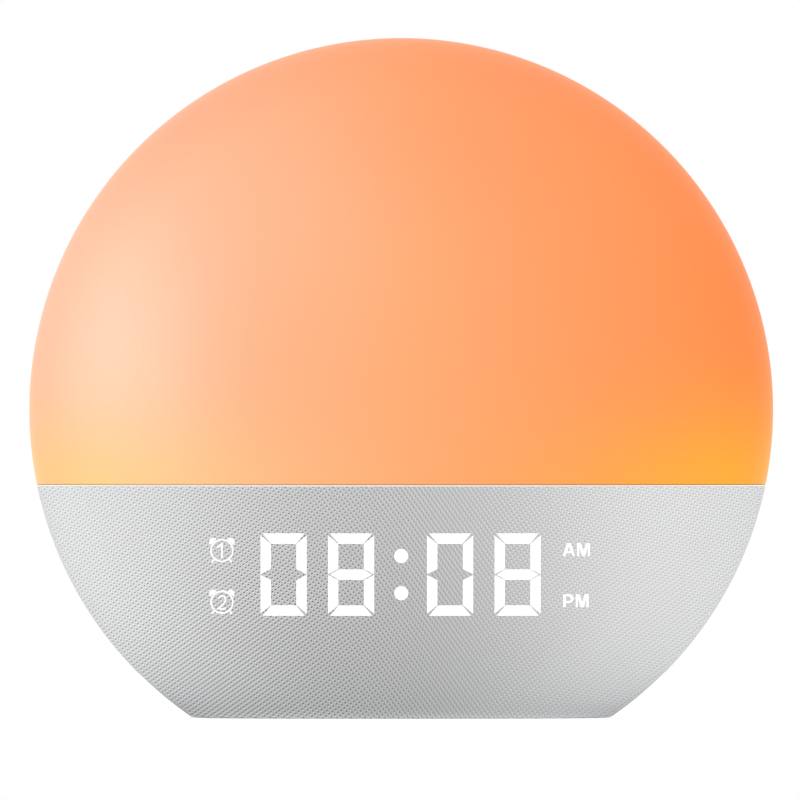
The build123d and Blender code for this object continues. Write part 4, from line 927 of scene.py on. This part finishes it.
def raise_signs(form, groups, lay, proud, sunk, step=2.5):
    """Fills each group of loops, bends it to the surface it lies on, and gives it thickness."""
    for loops in groups:
        flat = bmesh.new()
        edges = []
        for loop in loops:
            verts = [flat.verts.new((x, z, 0.0)) for x, z in loop]
            edges += [flat.edges.new(pair) for pair in zip(verts, verts[1:] + verts[:1])]
        bmesh.ops.triangle_fill(flat, use_beauty=True, edges=edges)
        inner = [edge for edge in flat.edges if not edge.is_boundary]
        bmesh.ops.dissolve_limit(flat, angle_limit=0.01, verts=flat.verts, edges=inner)
        for axis in (0, 1):
            low = min(vert.co[axis] for vert in flat.verts)
            high = max(vert.co[axis] for vert in flat.verts)
            for index in range(math.ceil(low / step), math.floor(high / step) + 1):
                point, normal = [0.0] * 3, [0.0] * 3
                point[axis], normal[axis] = index * step, 1.0
                everything = flat.verts[:] + flat.edges[:] + flat.faces[:]
                bmesh.ops.bisect_plane(flat, geom=everything, plane_co=point, plane_no=normal)
        flat.verts.index_update()
        front = [form.verts.new(lay(v.co.x * MM, v.co.y * MM, proud)) for v in flat.verts]
        back = [form.verts.new(lay(v.co.x * MM, v.co.y * MM, -sunk)) for v in flat.verts]
        for face in flat.faces:
            form.faces.new([front[v.index] for v in face.verts])
            form.faces.new([back[v.index] for v in reversed(face.verts)])
        for edge in flat.edges:
            if edge.is_boundary:
                a, b = (v.index for v in edge.verts)
                form.faces.new((front[a], front[b], back[b], back[a]))
        flat.free()


def on_cloth(across, up, out):
    """A point on the cloth's front, or out from it."""
    return (across, face_y(math.hypot(across, up - CENTRE_Z)) - out, up)


def placed(groups, across, up):
    """The same groups of loops, moved."""
    return [[shift(loop, across, up) for loop in loops] for loops in groups]


def light_piece(name, groups, display, finish):
    """Lit signs that lie on the cloth, as one piece."""
    form = bmesh.new()
    raise_signs(form, groups, on_cloth, display.proud, display.sunk)
    make_piece(name, form, finish, BODY)


# Operators


class CLOCK_OT_dome(bpy.types.Operator):
    """Build the frosted dome, lit warm from inside"""

    bl_idname = "sunrise_clock.dome"
    bl_label = "Dome"

    def execute(self, context):
        dome = context.scene.sunrise_clock.dome
        piece = make_piece("dome_shell", build_dome(dome), dome_finish(dome), BODY)
        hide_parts("diffuser_dome")
        return {"FINISHED"}


class CLOCK_OT_cloth(bpy.types.Operator):
    """Stretch the woven cloth over the lower front"""

    bl_idname = "sunrise_clock.cloth"
    bl_label = "Cloth"

    def execute(self, context):
        cloth = context.scene.sunrise_clock.cloth
        form, wide, tall, area = build_cloth(cloth)
        finish = cloth_finish(cloth)
        piece = make_piece("grille_cloth_sheet", form, finish, BODY, sharp=60.0)
        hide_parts("grille_cloth")
        return {"FINISHED"}


class CLOCK_OT_digits(bpy.types.Operator):
    """Light the four digits and the colon through the cloth"""

    bl_idname = "sunrise_clock.digits"
    bl_label = "Digits and colon"

    def execute(self, context):
        display = context.scene.sunrise_clock.display
        groups = []
        for across, digit in zip(DIGIT_X, LIT_DIGITS):
            groups += placed([[loop] for loop in digit_loops(display, digit)], across, DIGITS_Z)
        light_piece("lit_digits", groups, display, lit_finish("display_light", display.light))
        heights = (DIGITS_Z - COLON_RISE, DIGITS_Z + COLON_RISE)
        dots = [[circle((0, height), display.dot / MM)] for height in heights]
        light_piece("lit_colon", dots, display, lit_finish("colon_light", display.dot_light))
        return {"FINISHED"}


class CLOCK_OT_signs(bpy.types.Operator):
    """Light the two alarm signs and the half-day letters"""

    bl_idname = "sunrise_clock.signs"
    bl_label = "Alarm signs and letters"

    def execute(self, context):
        display = context.scene.sunrise_clock.display
        finish = lit_finish("sign_light", display.light)
        for number, height in ALARM_SIGN_Z.items():
            groups = bell_loops(display.ring / MM, display.line / MM, number)
            groups = placed(groups, ALARM_SIGN_X, height)
            light_piece(f"alarm_sign_{number}", groups, display, finish)
        for letter, place in HALF_DAY_PLACES.items():
            groups = placed(word_loops(letter + "M", display.letter / MM), *place)
            light_piece(f"half_day_{letter.lower()}m", groups, display, finish)
        return {"FINISHED"}


def key_groups(sign, height):
    """The loops of a key's sign, about the key's middle."""
    half, thin = height / 2, height * 0.11
    if sign == "minus":
        return [[line([(-half * 0.8, 0), (half * 0.8, 0)], thin)]]
    if sign == "plus":
        arm, bar = half * 0.8, thin / 2
        return [[[(-arm, -bar), (-bar, -bar), (-bar, -arm), (bar, -arm), (bar, -bar), (arm, -bar),
                  (arm, bar), (bar, bar), (bar, arm), (-bar, arm), (-bar, bar), (-arm, bar)]]]
    if sign == "clock":
        hands = line([(0, half * 0.6), (0, 0), (half * 0.45, -half * 0.25)], thin)
        return [[circle((0, 0), half), circle((0, 0), half - thin)], [hands]]
    if sign == "light":
        groups = [[circle((0, 0), half * 0.42)]]
        for index in range(8):
            turn = math.pi / 4 * index
            ray = [(math.cos(turn) * half * s, math.sin(turn) * half * s) for s in (0.62, 1.0)]
            groups.append([line(ray, thin * 0.9)])
        return groups
    groups = bell_loops(KEY_RING_R, KEY_RING_LINE, sign.split()[1])
    factor = height / KEY_RING_TALL
    return [[scale(loop, factor, factor) for loop in group] for group in groups]


class CLOCK_OT_key_signs(bpy.types.Operator):
    """Print a sign on each key at the back"""

    bl_idname = "sunrise_clock.key_signs"
    bl_label = "Key signs"

    def execute(self, context):
        case = context.scene.sunrise_clock.case
        finish = moulded_plastic("key_print", case.print, 0.2 * MM, 0.6, 0.003 * MM)
        for body, sign in KEY_SIGNS.items():
            low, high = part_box(body)
            middle = (low + high) / 2

            def on_key(across, up, out):
                return (middle.x - across, high.y + out, middle.z + up)

            form = bmesh.new()
            groups = key_groups(sign, case.sign / MM)
            raise_signs(form, groups, on_key, KEY_SIGN_PROUD, KEY_SIGN_SUNK, step=20.0)
            make_piece(f"{body}_sign", form, finish, body)
        return {"FINISHED"}


class CLOCK_OT_contacts(bpy.types.Operator):
    """Lay the gilt contacts on the power socket's tongue"""

    bl_idname = "sunrise_clock.contacts"
    bl_label = "Socket contacts"

    def execute(self, context):
        form = bmesh.new()
        middle = (port_low + port_high) / 2
        ends = (port_low.y + CONTACT_SET_BACK, port_high.y - CONTACT_SET_BACK)
        half, crest = CONTACT_HALF_WIDTH, CONTACT_HALF_WIDTH * 0.6
        for index in range(CONTACTS):
            x = middle.x + (index - (CONTACTS - 1) / 2) * CONTACT_PITCH
            for face, thick in ((port_high.z, CONTACT_THICK), (port_low.z, -CONTACT_THICK)):
                section = (
                    (-half, -thick), (half, -thick), (half, 0.0), (crest, thick),
                    (-crest, thick), (-half, 0.0),
                )
                corners = [(x + dx, y, face + dz) for dx, dz in section for y in ends]
                verts = [form.verts.new(corner) for corner in corners]
                near, far = verts[0::2], verts[1::2]
                form.faces.new(near)
                form.faces.new(far[::-1])
                for a, b, c, d in zip(near, near[1:] + near[:1], far[1:] + far[:1], far):
                    form.faces.new((a, b, c, d))
        finish = plated_steel("gilt", srgb(232, 190, 110), 0.3)
        make_piece("socket_contacts", form, finish, BODY, sharp=30.0)
        return {"FINISHED"}


class CLOCK_OT_case(bpy.types.Operator):
    """Finish the moulded shells, keys and rubber"""

    bl_idname = "sunrise_clock.case"
    bl_label = "Case finishes"

    def execute(self, context):
        case = context.scene.sunrise_clock.case
        finish_nodes({
            "white_plastic": moulded_plastic("shell_plastic", case.shell, case.grain),
            "light_plastic": moulded_plastic(
                "reflector_plastic", srgb(247, 247, 245), 0.3 * MM, 0.55, 0.004 * MM
            ),
            "dark_plastic": moulded_plastic("black_plastic", srgb(26, 26, 28), 0.35 * MM),
            "key_plastic": moulded_plastic(
                "satin_plastic", case.keys, 0.22 * MM, 0.4, 0.005 * MM
            ),
            "clear_plastic": milky_lens("lens_plastic", srgb(248, 248, 246)),
            "pad_rubber": studded_rubber("pad_rubber", case.pad, 2.4 * MM),
            "soft_rubber": soft_foam("soft_rubber", srgb(44, 44, 46)),
        })
        return {"FINISHED"}


def middle_of(node):
    """Across and up to the middle of a part of the frame."""
    low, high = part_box(node)
    return (low.x + high.x) / 2, (low.z + high.z) / 2


class CLOCK_OT_inside(bpy.types.Operator):
    """Finish the boards, metal, speaker and wiring"""

    bl_idname = "sunrise_clock.inside"
    bl_label = "Inside finishes"

    def execute(self, context):
        cell, cone = middle_of("coin_cell"), middle_of("speaker_cone")
        finish_nodes({
            "screw_steel": plated_steel("screw_steel", srgb(198, 196, 190), 0.34),
            "steel": plated_steel("drawn_steel", srgb(206, 206, 204), 0.3, (1.0, 0.1, 1.0)),
            "cell_steel": turned_steel("cell_steel", srgb(214, 213, 208), cell),
            "board_green": solder_mask("board_green", srgb(28, 98, 62), srgb(58, 140, 92)),
            "board_white": solder_mask("board_white", srgb(240, 240, 236), srgb(226, 224, 214)),
            "lamp": phosphor("lamp", srgb(250, 226, 150)),
            "chip_black": moulded_plastic("chip_black", srgb(34, 34, 36), 0.2 * MM, 0.45),
            "capacitor": plated_steel(
                "capacitor_can", srgb(186, 188, 192), 0.35, (1.0, 0.15, 1.0)
            ),
            "paper_cone": pressed_paper("paper_cone", srgb(52, 50, 48), cone),
            "magnet": moulded_plastic("magnet", srgb(70, 70, 74), 0.4 * MM, 0.4, 0.02 * MM),
            "cable_white": moulded_plastic(
                "cable_white", srgb(232, 232, 228), 0.5 * MM, 0.45, 0.006 * MM
            ),
        })
        return {"FINISHED"}


def aim(thing, place, target):
    """Puts a lamp or a camera at its place, turned to its target."""
    thing.location = place
    thing.rotation_euler = (Vector(target) - Vector(place)).to_track_quat("-Z", "Y").to_euler()
    bpy.context.scene.collection.objects.link(thing)


def add_lamp(name, watts, wide, tall, place, target, mirrored):
    lamp = bpy.data.lights.new(name, "AREA")
    lamp.shape, lamp.size, lamp.size_y, lamp.energy = "RECTANGLE", wide, tall, watts
    thing = bpy.data.objects.new(name, lamp)
    aim(thing, place, target)
    thing.visible_camera = False
    thing.visible_glossy = mirrored


class CLOCK_OT_stage(bpy.types.Operator):
    """Set up the floor, the air, the soft lamps and the camera"""

    bl_idname = "sunrise_clock.stage"
    bl_label = "Studio"

    def execute(self, context):
        studio = context.scene.sunrise_clock.studio
        self.make_floor(studio.floor)
        self.make_air(context.scene, studio.air)
        middle = (0.0, 0.0, CENTRE_Z)
        for name, wide, tall, place, mirrored in LAMPS:
            watts = getattr(studio, name)
            add_lamp(f"{name}_softbox", watts, wide, tall, place, middle, mirrored)
        lens = bpy.data.cameras.new("camera")
        lens.sensor_width = 36.0
        lens.lens = lens.sensor_width * studio.distance / studio.view
        camera = bpy.data.objects.new("camera", lens)
        spot = (studio.aim_x, -studio.distance, studio.aim_z)
        aim(camera, spot, (studio.aim_x, 0.0, studio.aim_z))
        context.scene.camera = camera
        context.scene.view_settings.view_transform = "Standard"
        return {"FINISHED"}

    def make_floor(self, radius):
        form = bmesh.new()
        form.faces.new([form.verts.new((x, y, 0.0)) for x, y in circle((0, 0), radius, 96)])
        finish = Finish(
            "floor_paper", Base_Color=(0.84, 0.84, 0.84), Roughness=0.9, Specular_IOR_Level=0.1,
            Emission_Strength=0.4,
        )
        finish.surface(Emission_Color=finish.shade(WHITE, finish.backdrop_seen()))
        make_object("floor", form, finish.material)

    def make_air(self, scene, level):
        scene.world = bpy.data.worlds.new("air")
        air = Nodes(scene.world)
        lit, plain = (
            air.node("ShaderNodeBackground", None, {"Color": WHITE, "Strength": strength})
            for strength in (level, 1.0)
        )
        inputs = {0: air.backdrop_seen(), 1: lit.outputs[0], 2: plain.outputs[0]}
        mixed = air.node("ShaderNodeMixShader", None, inputs)
        air.node("ShaderNodeOutputWorld", None, {"Surface": mixed.outputs[0]})


OPERATORS = (
    CLOCK_OT_dome, CLOCK_OT_cloth, CLOCK_OT_digits, CLOCK_OT_signs, CLOCK_OT_key_signs,
    CLOCK_OT_contacts, CLOCK_OT_case, CLOCK_OT_inside, CLOCK_OT_stage,
)


class CLOCK_PT_panel(bpy.types.Panel):
    """Pieces of the clock and their settings"""

    bl_idname = "CLOCK_PT_panel"
    bl_label = "Sunrise Clock"
    bl_space_type = "VIEW_3D"
    bl_region_type = "UI"
    bl_category = "Sunrise Clock"

    def draw(self, context):
        for operator in OPERATORS:
            self.layout.operator(operator.bl_idname)
        settings = context.scene.sunrise_clock
        for part in ClockSettings.__annotations__:
            group, box = getattr(settings, part), self.layout.box()
            for name in group.__annotations__:
                box.prop(group, name)


CLASSES = (
    DomeSettings, ClothSettings, DisplaySettings, CaseSettings, StudioSettings, ClockSettings,
    *OPERATORS, CLOCK_PT_panel,
)


def register():
    for cls in CLASSES:
        bpy.utils.register_class(cls)
    bpy.types.Scene.sunrise_clock = PointerProperty(type=ClockSettings)


def unregister():
    del bpy.types.Scene.sunrise_clock
    for cls in reversed(CLASSES):
        bpy.utils.unregister_class(cls)


def main():
    register()
    for operator in OPERATORS:
        family, name = operator.bl_idname.split(".")
        getattr(getattr(bpy.ops, family), name)()


if __name__ == "__main__":
    main()
